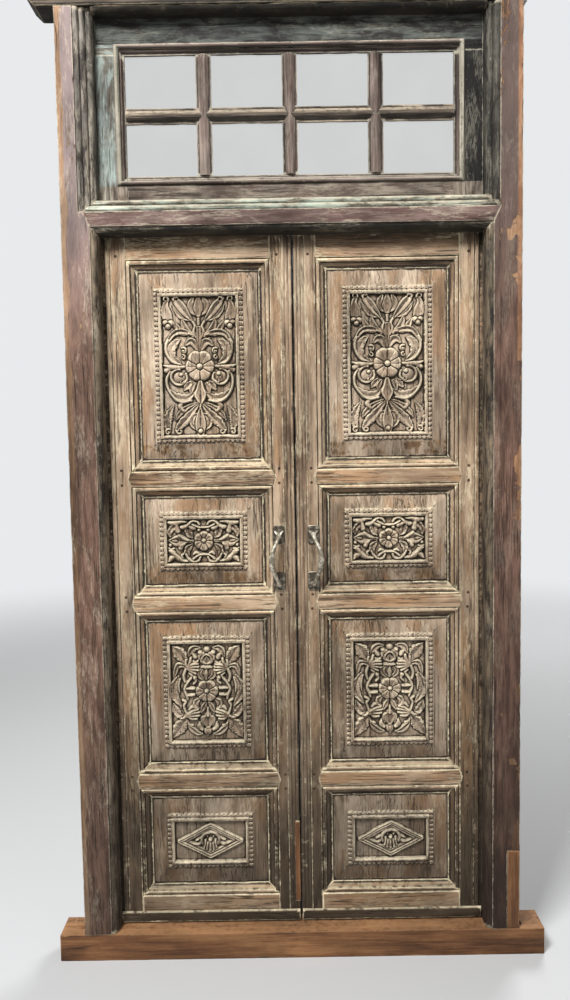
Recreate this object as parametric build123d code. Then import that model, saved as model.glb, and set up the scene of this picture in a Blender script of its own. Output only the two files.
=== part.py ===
from build123d import *
from math import hypot, pi, radians, sin, sqrt
import os

os.makedirs("parts", exist_ok=True)

# Origin: middle of the sill's underside. X runs to the right seen from the front,
# Y runs from the front to the back, and Z is up. All sizes are in millimetres.

# Frame
frame_depth = 92.0
opening_width = 1075.0
jamb_face = 97.0
sill_length = 1415.0
sill_height = 78.0
door_opening_height = 2008.0
bar_height = 93.0
sash_height = 508.0
head_height = 75.0
right_horn = 26.0
horn_chamfer = 22.0

# Mouldings worked on the frame's inner edges
frame_moulding = 17.0
frame_moulding_depth = 22.0
bar_top_moulding = 35.0
left_upper_moulding = 48.0
right_upper_moulding = 34.0
mitre_tip = 37.0
quirk_depth = 3.0
reed_bulge = 0.2
head_stop_height = 15.0

# Repairs and the open end of the sill's mortise
jamb_patch_width = 36.0
jamb_patch_height = 235.0
jamb_patch_depth = 40.0
slot_width = 12.0
slot_length = 56.0
slot_depth = 40.0
slot_start = 20.0

# Door leaves
leaf_face_depth = 58.0
leaf_overlap = 8.0
leaf_side_gap = 2.0
leaf_stop_gap = 0.4
leaf_bottom_gap = 5.0
meeting_gap = 3.5
meeting_stile_face = 62.0
hinge_stile_face = 72.5
bottom_rail_face = 77.0
middle_rail_face = 43.0
panel_moulding = 33.0
panel_quirk_width = 4.0
panel_quirk_depth = 5.0
panel_bead_width = 9.0
panel_bead_crown = 1.2
panel_step_depth = 7.0
panel_bevel_width = 13.0
panel_lip_depth = 12.0
rail_tip = 7.0
mitre_depth = 16.0
reed_count = 3
reed_width = 10.4
reed_quirk = 2.0
bead_width = 17.0
bead_margin = 14.5
bead_recess = 6.0
bead_quirk = 3.0
bead_crown = 1.0
tenon_length = 50.0
tenon_thickness = 12.0
tenon_setback = 16.0
tenon_shoulder = 10.0
base_strip_height = 32.0
base_strip_proud = 6.0
stile_patch_width = 14.0
stile_patch_height = 240.0
stile_patch_start = 25.0
stile_patch_depth = 20.0

# Panels, from the bottom up, by the clear height that shows in the leaf
lower_wide_height = 263.0
square_height = 421.0
upper_wide_height = 255.0
tall_height = 533.0
panel_sink = 14.0
panel_tongue = 8.0
panel_tongue_thickness = 8.0
panel_fit = 0.3
panel_back_field = 3.5
panel_back_margin = 30.0
margin_rise = 6.0

# Carved blocks on the panels
block_width = 255.0
lower_wide_block = 166.0
square_block = 335.0
upper_wide_block = 172.0
tall_block = 436.0
frieze_width = 12.0
frieze_edge_sink = 5.5
frieze_inner_sink = 3.5
fillet_bevel = 2.5
fillet_width = 10.0
ground_sink = 10.0
stem_relief = 6.0
leaf_relief = 8.0
button_relief = 9.5
button_sides = 8
leaf_steps = 4
stem_steps = 5

# Fanlight sash
sash_face_depth = 50.0
sash_thickness = 32.0
sash_stile_face = 52.5
sash_bottom_face = 46.5
sash_top_face = 79.0
sash_fit = 0.5
sash_step = 14.0
sash_step_sink = 7.0
sash_bead = 14.0
sash_bead_proud = 7.0
glass_rebate = 8.0
glass_front = 16.0
glass_thickness = 3.0
glass_fit = 0.3
pane_columns = 4
bar_width = 43.0
bar_flat = 9.0
bar_fin = 10.0
bar_step = 7.0

# Pull handles
handle_offset = 50.0
handle_height = 1092.0
handle_feet = 135.0
handle_reach = 38.0
handle_sway = 22.0
bow_radius = 6.5
bow_sides = 8
bow_steps = 8
boss_radius = 9.0
boss_height = 9.0
plate_width = 34.0
plate_height = 55.0
plate_thickness = 3.0
plate_chamfer = 4.0

# Pivots that the leaves turn on, at their rounded outer edges
pivot_radius = 7.0
pivot_fit = 0.05
pivot_in_leaf = 60.0
pivot_in_sill = 30.0
pivot_in_bar = 30.0
pivot_top_gap = 1.0

# How far a cutting shape runs past the wood
waste_margin = 2.0

# Levels that follow from the sizes above
half_opening = opening_width / 2
front_y = -frame_depth / 2
back_y = frame_depth / 2
bar_bottom = sill_height + door_opening_height
bar_top = bar_bottom + bar_height
head_bottom = bar_top + sash_height
jamb_outer = half_opening + jamb_face
rebate = leaf_overlap + leaf_side_gap
stop_y = front_y + leaf_face_depth - leaf_stop_gap
leaf_y = front_y + leaf_face_depth
leaf_thickness = frame_depth - leaf_face_depth
leaf_bottom = sill_height + leaf_bottom_gap
leaf_top = bar_bottom + leaf_overlap
leaf_outer = half_opening + leaf_overlap
leaf_inner = meeting_gap / 2
sight_inner = leaf_inner + meeting_stile_face + panel_moulding
sight_outer = leaf_outer - hinge_stile_face - panel_moulding
sight_width = sight_outer - sight_inner
rail_zone = middle_rail_face + 2 * panel_moulding
sash_y = front_y + sash_face_depth
sash_zone = sash_step + sash_bead
head_top = head_bottom + head_height


def closed_face(start, *moves):
    """Flat face from a start point and moves: a point is a straight run, a pair of points is an arc
    given by a point that it passes through and its end."""
    edges = []
    here = start
    for move in moves:
        if isinstance(move[0], tuple):
            through, end = move
            edges.append(ThreePointArc(here, through, end))
        else:
            end = move
            edges.append(Line(here, end))
        here = end
    if here != start:
        edges.append(Line(here, start))
    return make_face(edges)


def block(x_span, y_span, z_span):
    """Square-edged block between three pairs of limits."""
    size = [abs(span[1] - span[0]) for span in (x_span, y_span, z_span)]
    middle = [(span[0] + span[1]) / 2 for span in (x_span, y_span, z_span)]
    return Pos(*middle) * Box(*size)


def along_z(face, z_from, z_to):
    """Plan section carried up from one height to another."""
    return extrude(Pos(0, 0, z_from) * face, z_to - z_from)


def along_x(face, x_from, x_to):
    """Section drawn as (depth, height), carried along X."""
    section_plane = Plane(origin=(x_from, 0, 0), x_dir=(0, 1, 0), z_dir=(1, 0, 0))
    return extrude(section_plane * face, x_to - x_from)


def from_front(face, y_from, y_to):
    """Front elevation drawn as (across, up), carried back from one depth to another."""
    elevation_plane = Plane(origin=(0, y_to, 0), x_dir=(1, 0, 0), z_dir=(0, -1, 0))
    return extrude(elevation_plane * face, y_to - y_from)


def save(name, *solids):
    """Write one piece, or a group of like pieces, to its own file."""
    shape = solids[0] if len(solids) == 1 else Compound(children=[Part(s.wrapped) for s in solids])
    export_step(shape, f"parts/{name}.step")


def moulding_waste(width, place):
    """Section of what is worked away to leave equal reeds that fall from the face to the daylight
    edge. place turns (distance from the daylight edge, depth from the face) into a point."""
    reeds = round(width / frame_moulding)
    pitch = width / reeds
    fall = frame_moulding_depth / reeds
    bulge = reed_bulge * pitch
    moves = []
    for i in range(reeds):
        start = width - i * pitch
        root = place(start, i * fall + quirk_depth)
        middle = place(start - pitch / 2 - bulge, (i + 0.5) * fall + quirk_depth / 2 - bulge)
        foot = place(start - pitch, (i + 1) * fall)
        moves += [root, (middle, foot)]
    past = -waste_margin
    moves += [place(past, frame_moulding_depth), place(past, past)]
    return closed_face(place(width, past), *moves)


# Frame members

def bar_outline():
    """Front elevation of the transom bar with its pointed ends."""
    lower = (half_opening + frame_moulding, bar_bottom + frame_moulding)
    tip = (half_opening + mitre_tip, bar_top - bar_top_moulding)
    right = [(half_opening, bar_bottom), lower, tip, (half_opening, bar_top)]
    left = [(-x, z) for x, z in reversed(right)]
    return closed_face(right[0], *right[1:], *left)


def make_jamb(upper_moulding):
    """Right jamb: rebated for a leaf up to the bar, then moulded for the sash."""
    change = bar_top - bar_top_moulding
    jamb = block((half_opening, jamb_outer), (front_y, back_y), (sill_height, head_bottom))

    def place(s, t):
        return (half_opening + s, front_y + t)

    jamb -= along_z(moulding_waste(frame_moulding, place), sill_height, change)
    jamb -= along_z(moulding_waste(upper_moulding, place), change, head_bottom)
    rebate_top = bar_bottom + rebate
    jamb -= block((half_opening, half_opening + rebate), (stop_y, back_y), (sill_height, rebate_top))
    return jamb - from_front(bar_outline(), front_y, front_y + frame_moulding_depth)


def make_transom_bar():
    """Transom bar: moulded along both edges and rebated below for the leaves."""
    reach = half_opening + mitre_tip
    tips = from_front(bar_outline(), front_y, front_y + frame_moulding_depth)
    bar = tips + block((-half_opening, half_opening), (front_y, back_y), (bar_bottom, bar_top))
    low = moulding_waste(frame_moulding, lambda s, t: (front_y + t, bar_bottom + s))
    high = moulding_waste(bar_top_moulding, lambda s, t: (front_y + t, bar_top - s))
    bar -= along_x(low, -reach, reach) + along_x(high, -reach, reach)
    return bar - block((-half_opening, half_opening), (stop_y, back_y), (bar_bottom, bar_bottom + rebate))


def make_sill():
    """Sill with the open end of a mortise beside the right jamb's foot."""
    half = sill_length / 2
    sill = block((-half, half), (front_y, back_y), (0, sill_height))
    slot_y = front_y + slot_start
    slot_x = (jamb_outer, jamb_outer + slot_width)
    return sill - block(slot_x, (slot_y, slot_y + slot_length), (sill_height - slot_depth, sill_height))


def make_head():
    """Head beam, with a long horn on the left and a short one on the right."""
    left = -sill_length / 2
    right = jamb_outer + right_horn
    corner = head_bottom + horn_chamfer
    outline = closed_face(
        (left + horn_chamfer, head_bottom),
        (right - horn_chamfer, head_bottom),
        (right, corner),
        (right, head_top),
        (left, head_top),
        (left, corner),
    )
    return from_front(outline, front_y, back_y)


def make_head_stop():
    """Moulded stop under the head, in front of the sash."""
    low = head_bottom - head_stop_height
    stop = block((-half_opening, half_opening), (front_y, sash_y), (low, head_bottom))
    waste = moulding_waste(head_stop_height, lambda s, t: (front_y + t, low + s))
    return stop - along_x(waste, -half_opening, half_opening)


def jamb_patch_block():
    """Room for the newer block let into the right jamb's outer edge."""
    return block(
        (jamb_outer - jamb_patch_width, jamb_outer),
        (front_y, front_y + jamb_patch_depth),
        (sill_height, sill_height + jamb_patch_height),
    )


# Fanlight sash

def step_waste(place):
    """Section worked away along a sash member's glazing edge: a step, then an ovolo."""
    return closed_face(
        place(sash_step, -waste_margin),
        place(sash_step, sash_step_sink / 2),
        (place(sash_step - bar_step / 2, sash_step_sink - bar_step / 2), place(bar_step, sash_step_sink)),
        place(bar_step, glass_front / 2),
        place(0, glass_front / 2),
        place(0, -waste_margin),
    )


def sash_openings():
    """Clear height and width of the glazed area, as (left, right, bottom, top)."""
    inner = half_opening - sash_stile_face - sash_zone
    bottom = bar_top + sash_bottom_face + sash_zone
    top = head_bottom - sash_top_face - sash_zone
    return -inner, inner, bottom, top


def make_sash_frame():
    """Top rail, bottom rail and two stiles of the sash."""
    left, right, bottom, top = sash_openings()
    span_y = (sash_y, sash_y + sash_thickness)
    side = half_opening - sash_fit
    pieces = {
        "sash_top_rail": block((-side, side), span_y, (top, head_bottom - sash_fit)),
        "sash_bottom_rail": block((left, right), span_y, (bar_top, bottom)),
        "sash_left_stile": block((-side, left), span_y, (bar_top, top)),
        "sash_right_stile": block((right, side), span_y, (bar_top, top)),
    }
    ring = ring_around((left, right, bottom, top), sash_y, step_waste)
    rebate_y = (sash_y + glass_front, sash_y + sash_thickness)
    seat = block(
        (left - glass_rebate, right + glass_rebate),
        rebate_y,
        (bottom - glass_rebate, top + glass_rebate),
    )
    return {name: piece - ring - seat for name, piece in pieces.items()}


def ring_around(opening, face_y, section):
    """Section carried round an opening with mitred corners. section takes a place function of
    (distance from the opening's edge, depth from the face)."""
    left, right, bottom, top = opening
    middle_x = (left + right) / 2
    middle_z = (bottom + top) / 2
    path_plane = Plane(origin=(middle_x, face_y, middle_z), x_dir=(1, 0, 0), z_dir=(0, -1, 0))
    path = path_plane * Rectangle(right - left, top - bottom).wire()
    profile_plane = Plane(origin=(right, face_y, middle_z), x_dir=(1, 0, 0), z_dir=(0, 0, 1))
    profile = profile_plane * section(lambda s, t: (s, t))
    return sweep(profile, path=path, transition=Transition.RIGHT)


def bead_section(place):
    """Raised half-round planted round the glazed area."""
    middle = sash_step + sash_bead / 2
    return closed_face(
        place(sash_step, 0),
        (place(middle, -sash_bead_proud), place(sash_step + sash_bead, 0)),
    )


def make_sash_bead():
    """Four mitred lengths of the raised bead."""
    left, right, bottom, top = sash_openings()
    ring = ring_around((left, right, bottom, top), sash_y, bead_section)
    reach = sash_step + sash_bead
    corners = [
        (left - reach, bottom - reach),
        (right + reach, bottom - reach),
        (right + reach, top + reach),
        (left - reach, top + reach),
    ]
    inner = (top - bottom) / 2
    middle_z = (top + bottom) / 2
    low_end = (left + inner, middle_z)
    high_end = (right - inner, middle_z)
    sectors = [
        closed_face(corners[0], corners[1], high_end, low_end),
        closed_face(corners[1], corners[2], high_end),
        closed_face(corners[2], corners[3], low_end, high_end),
        closed_face(corners[3], corners[0], low_end),
    ]
    proud_y = sash_y - 2 * sash_bead_proud
    return [ring & from_front(sector, proud_y, sash_y + waste_margin) for sector in sectors]


def bar_section():
    """Section of a glazing bar across its width, with the fin between the panes behind."""
    half = bar_width / 2
    shoulder = half - bar_step
    mid = glass_front / 2
    return closed_face(
        (-bar_fin / 2, sash_thickness),
        (-bar_fin / 2, glass_front),
        (-half, glass_front),
        (-half, mid),
        (-shoulder, mid),
        (-shoulder, bar_step),
        (-bar_flat / 2, 0),
        (bar_flat / 2, 0),
        (shoulder, bar_step),
        (shoulder, mid),
        (half, mid),
        (half, glass_front),
        (bar_fin / 2, glass_front),
        (bar_fin / 2, sash_thickness),
    )


def pane_grid():
    """Centres of the bars between the columns, the column pitch and the middle height."""
    left, right, bottom, top = sash_openings()
    pitch = (right - left + bar_width) / pane_columns
    bars = [left - bar_width / 2 + pitch * (i + 1) for i in range(pane_columns - 1)]
    return bars, pitch, (bottom + top) / 2


def make_sash_bars():
    """Upright bars that run through, and the pointed cross bars between them."""
    left, right, bottom, top = sash_openings()
    bars, pitch, middle_z = pane_grid()
    half = bar_width / 2
    end = pitch / 2 - half
    tip = end + half - bar_flat / 2
    behind_y = (sash_y + glass_front, sash_y + sash_thickness)
    fin_z = (middle_z - bar_fin / 2, middle_z + bar_fin / 2)
    section_plane = Plane(origin=(0, sash_y, middle_z), x_dir=(0, 0, 1), z_dir=(-1, 0, 0))
    run = extrude(section_plane * bar_section(), pitch / 2, both=True)
    crosses = []
    for i in range(pane_columns):
        is_first = i == 0
        is_last = i == pane_columns - 1
        left_tip = end if is_first else tip
        right_tip = end if is_last else tip
        outline = closed_face(
            (-left_tip, middle_z), (-end, middle_z + half), (end, middle_z + half),
            (right_tip, middle_z), (end, middle_z - half), (-end, middle_z - half),
        )
        fin_left = end + (glass_rebate if is_first else half - bar_fin / 2)
        fin_right = end + (glass_rebate if is_last else half - bar_fin / 2)
        front = run & from_front(outline, sash_y, sash_y + glass_front)
        centre = left - half + pitch * (i + 0.5)
        crosses.append(Pos(centre) * (front + block((-fin_left, fin_right), behind_y, fin_z)))
    fin = block((-bar_fin / 2, bar_fin / 2), behind_y, (bottom - glass_rebate, top + glass_rebate))
    upright = along_z(Pos(0, sash_y) * bar_section(), bottom, top) + fin
    uprights = [Pos(x) * upright - crosses[i] - crosses[i + 1] for i, x in enumerate(bars)]
    return uprights, crosses


def make_panes():
    """Glass panes, each standing on its rebate behind the bars."""
    left, right, bottom, top = sash_openings()
    bars, pitch, middle_z = pane_grid()
    edges_x = [left - glass_rebate + glass_fit]
    for x in bars:
        edges_x += [x - bar_fin / 2 - glass_fit, x + bar_fin / 2 + glass_fit]
    edges_x.append(right + glass_rebate - glass_fit)
    edges_z = [
        bottom - glass_rebate,
        middle_z - bar_fin / 2 - glass_fit,
        middle_z + bar_fin / 2,
        top + glass_rebate - glass_fit,
    ]
    glass_y = sash_y + glass_front
    return [
        block(edges_x[i:i + 2], (glass_y, glass_y + glass_thickness), edges_z[j:j + 2])
        for i in range(0, len(edges_x), 2)
        for j in range(0, len(edges_z), 2)
    ]


# Door leaf, built as the right one and mirrored for the left

def panel_positions():
    """Bottom and top of each panel's clear opening, from the bottom up."""
    heights = [lower_wide_height, square_height, upper_wide_height, tall_height]
    bottom = leaf_bottom + bottom_rail_face + panel_moulding
    spans = []
    for height in heights:
        spans.append((bottom, bottom + height))
        bottom += height + rail_zone
    return spans


def opening_of(span):
    """Clear opening of a panel as (left, right, bottom, top)."""
    return sight_inner, sight_outer, span[0], span[1]


def panel_edge_waste(place):
    """Section worked away round a panel: a quirk, a bead, a step, a bevel and a lip."""
    bead_outer = panel_moulding - panel_quirk_width
    bead_inner = bead_outer - panel_bead_width
    return closed_face(
        place(panel_moulding, -waste_margin),
        place(panel_moulding, 0),
        place(panel_moulding - panel_quirk_width / 2, panel_quirk_depth),
        place(bead_outer, panel_bead_crown),
        (place(bead_outer - panel_bead_width / 2, 0), place(bead_inner, panel_bead_crown)),
        place(bead_inner, panel_step_depth),
        place(bead_inner - panel_bevel_width, panel_lip_depth),
        place(0, panel_lip_depth),
        place(0, -waste_margin),
    )


def panel_grooves():
    """Grooves that hold the panels, and the worked edges round them."""
    waste = None
    depth_y = (
        leaf_y + panel_sink,
        leaf_y + panel_sink + panel_tongue_thickness + 2 * panel_fit,
    )
    reach = panel_tongue + panel_fit
    for span in panel_positions():
        groove = block(
            (sight_inner - reach, sight_outer + reach), depth_y, (span[0] - panel_tongue, span[1] + reach)
        )
        worked = ring_around(opening_of(span), leaf_y, panel_edge_waste)
        waste = groove + worked if waste is None else waste + groove + worked
    return waste


def rail_outline(bottom, top, moulded_below, moulded_above):
    """Front elevation of a rail: mitred at the mouldings, pointed at the stiles."""
    outer = sight_outer + panel_moulding
    centre = (sight_inner + sight_outer) / 2
    low = bottom + panel_moulding if moulded_below else bottom
    high = top - panel_moulding if moulded_above else top
    right = [(outer, low), (outer, high)]
    if moulded_below and moulded_above:
        right.insert(1, (outer + rail_tip, (low + high) / 2))
    if moulded_below:
        right.insert(0, (sight_outer, bottom))
    if moulded_above:
        right.append((sight_outer, top))
    left = [(2 * centre - x, z) for x, z in reversed(right)]
    return closed_face(right[0], *right[1:], *left)


def rail_levels():
    """Bottom and top of each rail, from the bottom rail up to the top rail."""
    spans = panel_positions()
    bottoms = [leaf_bottom] + [span[1] for span in spans]
    tops = [span[0] for span in spans] + [leaf_top]
    return list(zip(bottoms, tops))


def make_rail(bottom, top, moulded_below, moulded_above):
    """One rail with a tenon at each end."""
    outline = rail_outline(bottom, top, moulded_below, moulded_above)
    rail = from_front(outline, leaf_y, leaf_y + mitre_depth)
    rail += block((sight_inner, sight_outer), (leaf_y + mitre_depth, back_y), (bottom, top))
    tenon_y = leaf_y + tenon_setback
    return rail + block(
        (sight_inner - tenon_length, sight_outer + tenon_length),
        (tenon_y, tenon_y + tenon_thickness),
        (bottom + tenon_shoulder, top - tenon_shoulder),
    )


def make_rails():
    """All rails of a leaf by name, from the bottom up."""
    names = ["bottom_rail", "lower_rail", "middle_rail", "upper_rail", "top_rail"]
    levels = rail_levels()
    last = len(names) - 1
    return {
        name: make_rail(*levels[i], moulded_below=i > 0, moulded_above=i < last)
        for i, name in enumerate(names)
    }


def pivot_axis():
    """Plan position of the right leaf's pivot, the centre of its rounded outer edge."""
    heel = leaf_thickness / 2
    return leaf_outer - heel, leaf_y + heel


def make_hinge_stile():
    """Stile along the pivots: a bead, a sunk margin, and an outer edge rounded about the pivot."""
    edge = leaf_outer - bead_margin
    start = edge - bead_width
    pivot_x, pivot_y = pivot_axis()
    heel = leaf_thickness / 2
    shelf = sqrt(heel ** 2 - (heel - bead_recess) ** 2)
    slant = heel * sin(radians(45))
    outline = closed_face(
        (sight_outer, leaf_y),
        (start, leaf_y),
        (start + bead_quirk / 2, leaf_y + bead_quirk),
        (start + bead_quirk, leaf_y + bead_crown),
        (((start + edge) / 2, leaf_y), (edge - bead_quirk, leaf_y + bead_crown)),
        (edge, leaf_y + bead_recess),
        (pivot_x + shelf, leaf_y + bead_recess),
        ((pivot_x + slant, pivot_y + slant), (pivot_x, back_y)),
        (sight_outer, back_y),
    )
    return along_z(outline, leaf_bottom, leaf_top)


def make_meeting_stile():
    """Stile at the middle of the door, with three reeds along its meeting edge."""
    moves = []
    x = leaf_inner
    for _ in range(reed_count):
        moves.append((
            (x + reed_width / 2, leaf_y),
            (x + reed_width, leaf_y + reed_quirk),
        ))
        x += reed_width
    outline = closed_face(
        (leaf_inner, leaf_y + reed_quirk),
        *moves,
        (x, leaf_y),
        (sight_inner, leaf_y),
        (sight_inner, back_y),
        (leaf_inner, back_y),
    )
    return along_z(outline, leaf_bottom, leaf_top)


def make_base_strip():
    """Weather strip planted across the foot of the leaf, rounded on its upper front edge."""
    front = leaf_y - base_strip_proud
    top = leaf_bottom + base_strip_height
    section = closed_face(
        (leaf_y, leaf_bottom),
        (front, leaf_bottom),
        (front, top - base_strip_proud),
        ((leaf_y - base_strip_proud * sin(radians(45)),
          top - base_strip_proud + base_strip_proud * sin(radians(45))), (leaf_y, top)),
    )
    return along_x(section, leaf_inner + 2, half_opening - leaf_side_gap)


def stile_patch_block(front):
    """Room for the newer strip let into the left leaf's meeting edge, drawn on the right one."""
    bottom = leaf_bottom + base_strip_height + stile_patch_start
    return block(
        (leaf_inner, leaf_inner + stile_patch_width),
        (front, leaf_y + stile_patch_depth),
        (bottom, bottom + stile_patch_height),
    )


# Carved panels

def ribbon(at, centre_line, half_width, steps):
    """Outline of a ribbon: centre_line and half_width take a share of its length, from 0 to 1."""
    left, right = [], []
    for i in range(steps + 1):
        share = i / steps
        x, z = centre_line(share)
        x_before, z_before = centre_line(share - 1 / steps)
        x_after, z_after = centre_line(share + 1 / steps)
        run_x = x_after - x_before
        run_z = z_after - z_before
        reach = half_width(share) / hypot(run_x, run_z)
        left.append(at(x - run_z * reach, z + run_x * reach))
        right.append(at(x + run_z * reach, z - run_x * reach))
    return left, right


def leaf_shape(at, x0, z0, x1, z1, width, bend):
    """Pointed leaf between two points. bend shifts its middle to the left of its direction."""
    length = hypot(x1 - x0, z1 - z0)
    across = (-(z1 - z0) / length, (x1 - x0) / length)

    def centre_line(share):
        shift = bend * sin(pi * share)
        return (x0 + (x1 - x0) * share + across[0] * shift, z0 + (z1 - z0) * share + across[1] * shift)

    left, right = ribbon(at, centre_line, lambda share: width / 2 * sin(pi * share), leaf_steps)
    return closed_face(at(x0, z0), *left[1:-1], at(x1, z1), *reversed(right[1:-1]))


def stem_shape(at, start, through, end, width):
    """Stem of even width, along a parabola through three points."""

    def centre_line(share):
        near = (1 - share) * (1 - 2 * share)
        middle = 4 * share * (1 - share)
        far = share * (2 * share - 1)
        return tuple(near * a + middle * b + far * c for a, b, c in zip(start, through, end))

    left, right = ribbon(at, centre_line, lambda share: width / 2, stem_steps)
    return closed_face(left[0], *left[1:], *reversed(right))


def button_shape(at, x, z, radius):
    """Faceted button."""
    return Pos(*at(x, z)) * RegularPolygon(radius, button_sides)


def diamond_shape(at, half_width, half_height):
    """Diamond about the centre."""
    corners = [(half_width, 0), (0, half_height), (-half_width, 0), (0, -half_height)]
    points = [at(*corner) for corner in corners]
    return closed_face(points[0], *points[1:])


def sides_of(shape):
    """Both sides, or one where the shape starts and ends on the centre line."""
    on_centre = shape[0] == 0 and (len(shape) == 3 or shape[2] == 0)
    return (1,) if on_centre else (1, -1)


class Motif:
    """Carving of one block, drawn on a ground of a given height and stretched to the block's own
    ground. The right half is listed, and what is off the centre line is repeated on the left."""

    def __init__(self, drawn_height, stems, leaves, buttons, arches=(), frames=()):
        self.drawn_height = drawn_height
        self.stems = stems
        self.leaves = leaves
        self.buttons = buttons
        self.arches = arches
        self.frames = frames

    def layers(self, ground_width, ground_height):
        """Flat shapes with the relief that each of them has over the ground."""
        stretch_x = ground_width / drawn_width
        stretch_z = ground_height / self.drawn_height

        def placed(side):
            return lambda x, z: (side * x * stretch_x, z * stretch_z)

        low = [stem_shape(placed(side), *stem) for stem in self.stems for side in (1, -1)]
        low += [stem_shape(placed(1), *arch) for arch in self.arches]
        for outer, inner in self.frames:
            low.append(diamond_shape(placed(1), *outer) - diamond_shape(placed(1), *inner))
        leaves = [leaf_shape(placed(side), *leaf) for leaf in self.leaves for side in sides_of(leaf)]
        tops = [button_shape(placed(side), *top) for top in self.buttons for side in sides_of(top)]
        return (low, stem_relief), (leaves, leaf_relief), (tops, button_relief)


drawn_width = 211.0

tall_motif = Motif(
    drawn_height=392.0,
    stems=[
        ((22, 91), (62, 90), (93, 58), 8),
        ((93, 58), (84, 20), (52, 6), 8),
        ((84, -15), (92, -66), (28, -97), 7),
    ],
    leaves=[
        (0, -2, 21, 42, 24, 0),
        (0, -2, 41, 0, 24, 0),
        (0, -2, 21, -39, 22, 0),
        (0, 52, 0, 112, 26, 0),
        (0, 143, 0, 197, 42, 0),
        (22, 132, 67, 191, 20, -5),
        (90, 120, 88, 192, 28, -3),
        (24, 92, 72, 121, 18, -3),
        (50, 76, 84, 28, 19, 4),
        (46, 0, 102, 1, 17, 0),
        (27, -44, 42, -64, 16, 0),
        (8, -107, 70, -188, 28, -4),
        (92, -110, 92, -193, 27, 3),
        (0, -42, 0, -106, 30, 0),
        (0, -115, 0, -193, 50, 0),
    ],
    buttons=[(0, -2, 10), (45, 44, 8), (54, -26, 8)],
)

upper_wide_motif = Motif(
    drawn_height=128.0,
    stems=[((49, -57), (71, -52), (84, -33), 5)],
    arches=[
        ((-34, 51), (0, 42), (34, 51), 5),
        ((-30, -50), (0, -39), (30, -50), 5),
    ],
    leaves=[
        (0, 2, 0, 29, 27, 0),
        (0, 0, 31, 10, 16, 0),
        (0, 0, 29, -14, 16, 0),
        (0, -2, 0, -30, 25, 0),
        (33, 0, 101, 1, 24, 0),
        (50, 56, 102, 54, 12, 0),
        (76, 50, 98, 16, 18, 6),
        (47, 44, 33, 11, 20, 0),
        (34, -11, 52, -37, 16, 0),
        (80, -48, 102, -57, 11, 0),
    ],
    buttons=[(0, 0, 7), (74, 29, 6), (65, -18, 6), (96, -13, 4)],
)

square_motif = Motif(
    drawn_height=291.0,
    stems=[
        ((64, 60), (67, 42), (58, 24), 6),
        ((58, 24), (66, 4), (58, -16), 6),
    ],
    leaves=[
        (0, 3, 17, 33, 19, 0),
        (0, 3, 35, 3, 20, 0),
        (0, 3, 17, -28, 19, 0),
        (0, 112, 0, 140, 18, 0),
        (24, 132, 50, 110, 16, 0),
        (60, 87, 98, 138, 31, 0),
        (0, 36, 0, 104, 30, 0),
        (58, 73, 24, 86, 11, 0),
        (58, 73, 27, 57, 11, 0),
        (73, 80, 98, 36, 21, 6),
        (88, 43, 73, -38, 22, -7),
        (58, -67, 24, -50, 11, 0),
        (58, -67, 27, -80, 11, 0),
        (99, -36, 73, -69, 20, 0),
        (63, -80, 103, -137, 33, 0),
        (15, -128, 57, -99, 16, -5),
        (0, -58, 0, -102, 33, 0),
    ],
    buttons=[(0, 3, 7), (0, -117, 11), (0, -67, 5), (58, 73, 5), (58, -67, 5)],
)

lower_wide_motif = Motif(
    drawn_height=122.0,
    stems=[],
    arches=[((-25, 2), (0, 27), (25, 2), 8)],
    leaves=[
        (0, 0, 0, -27, 9, 0),
        (9, -3, 14, -24, 8, 0),
        (24, -7, 60, -1, 10, 0),
        (28, 7, 43, 2, 7, 0),
    ],
    buttons=[(0, 2, 6)],
    frames=[((97, 52), (80, 43)), ((76, 41), (62, 33.5))],
)


def border_section(place):
    """Frieze and bevelled fillet round the carved ground, from the ground's edge outwards."""
    return closed_face(
        place(0, ground_sink + waste_margin),
        place(0, fillet_bevel),
        place(fillet_bevel, 0),
        place(fillet_width - fillet_bevel, 0),
        place(fillet_width, frieze_inner_sink + fillet_bevel / 2),
        place(fillet_width, frieze_inner_sink),
        place(fillet_width + frieze_width, frieze_edge_sink),
        place(fillet_width + frieze_width, ground_sink + waste_margin),
    )


def field_section(whole, raised, back, place):
    """Section of a panel's field: its margins slope up to the raised block. place turns (distance
    from the panel's centre, depth from the leaf's face) into a point."""
    field_sink = panel_sink - margin_rise
    return closed_face(
        place(whole / 2, back),
        place(whole / 2, panel_sink),
        place(raised / 2, field_sink),
        place(-raised / 2, field_sink),
        place(-whole / 2, panel_sink),
        place(-whole / 2, back),
    )


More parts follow.
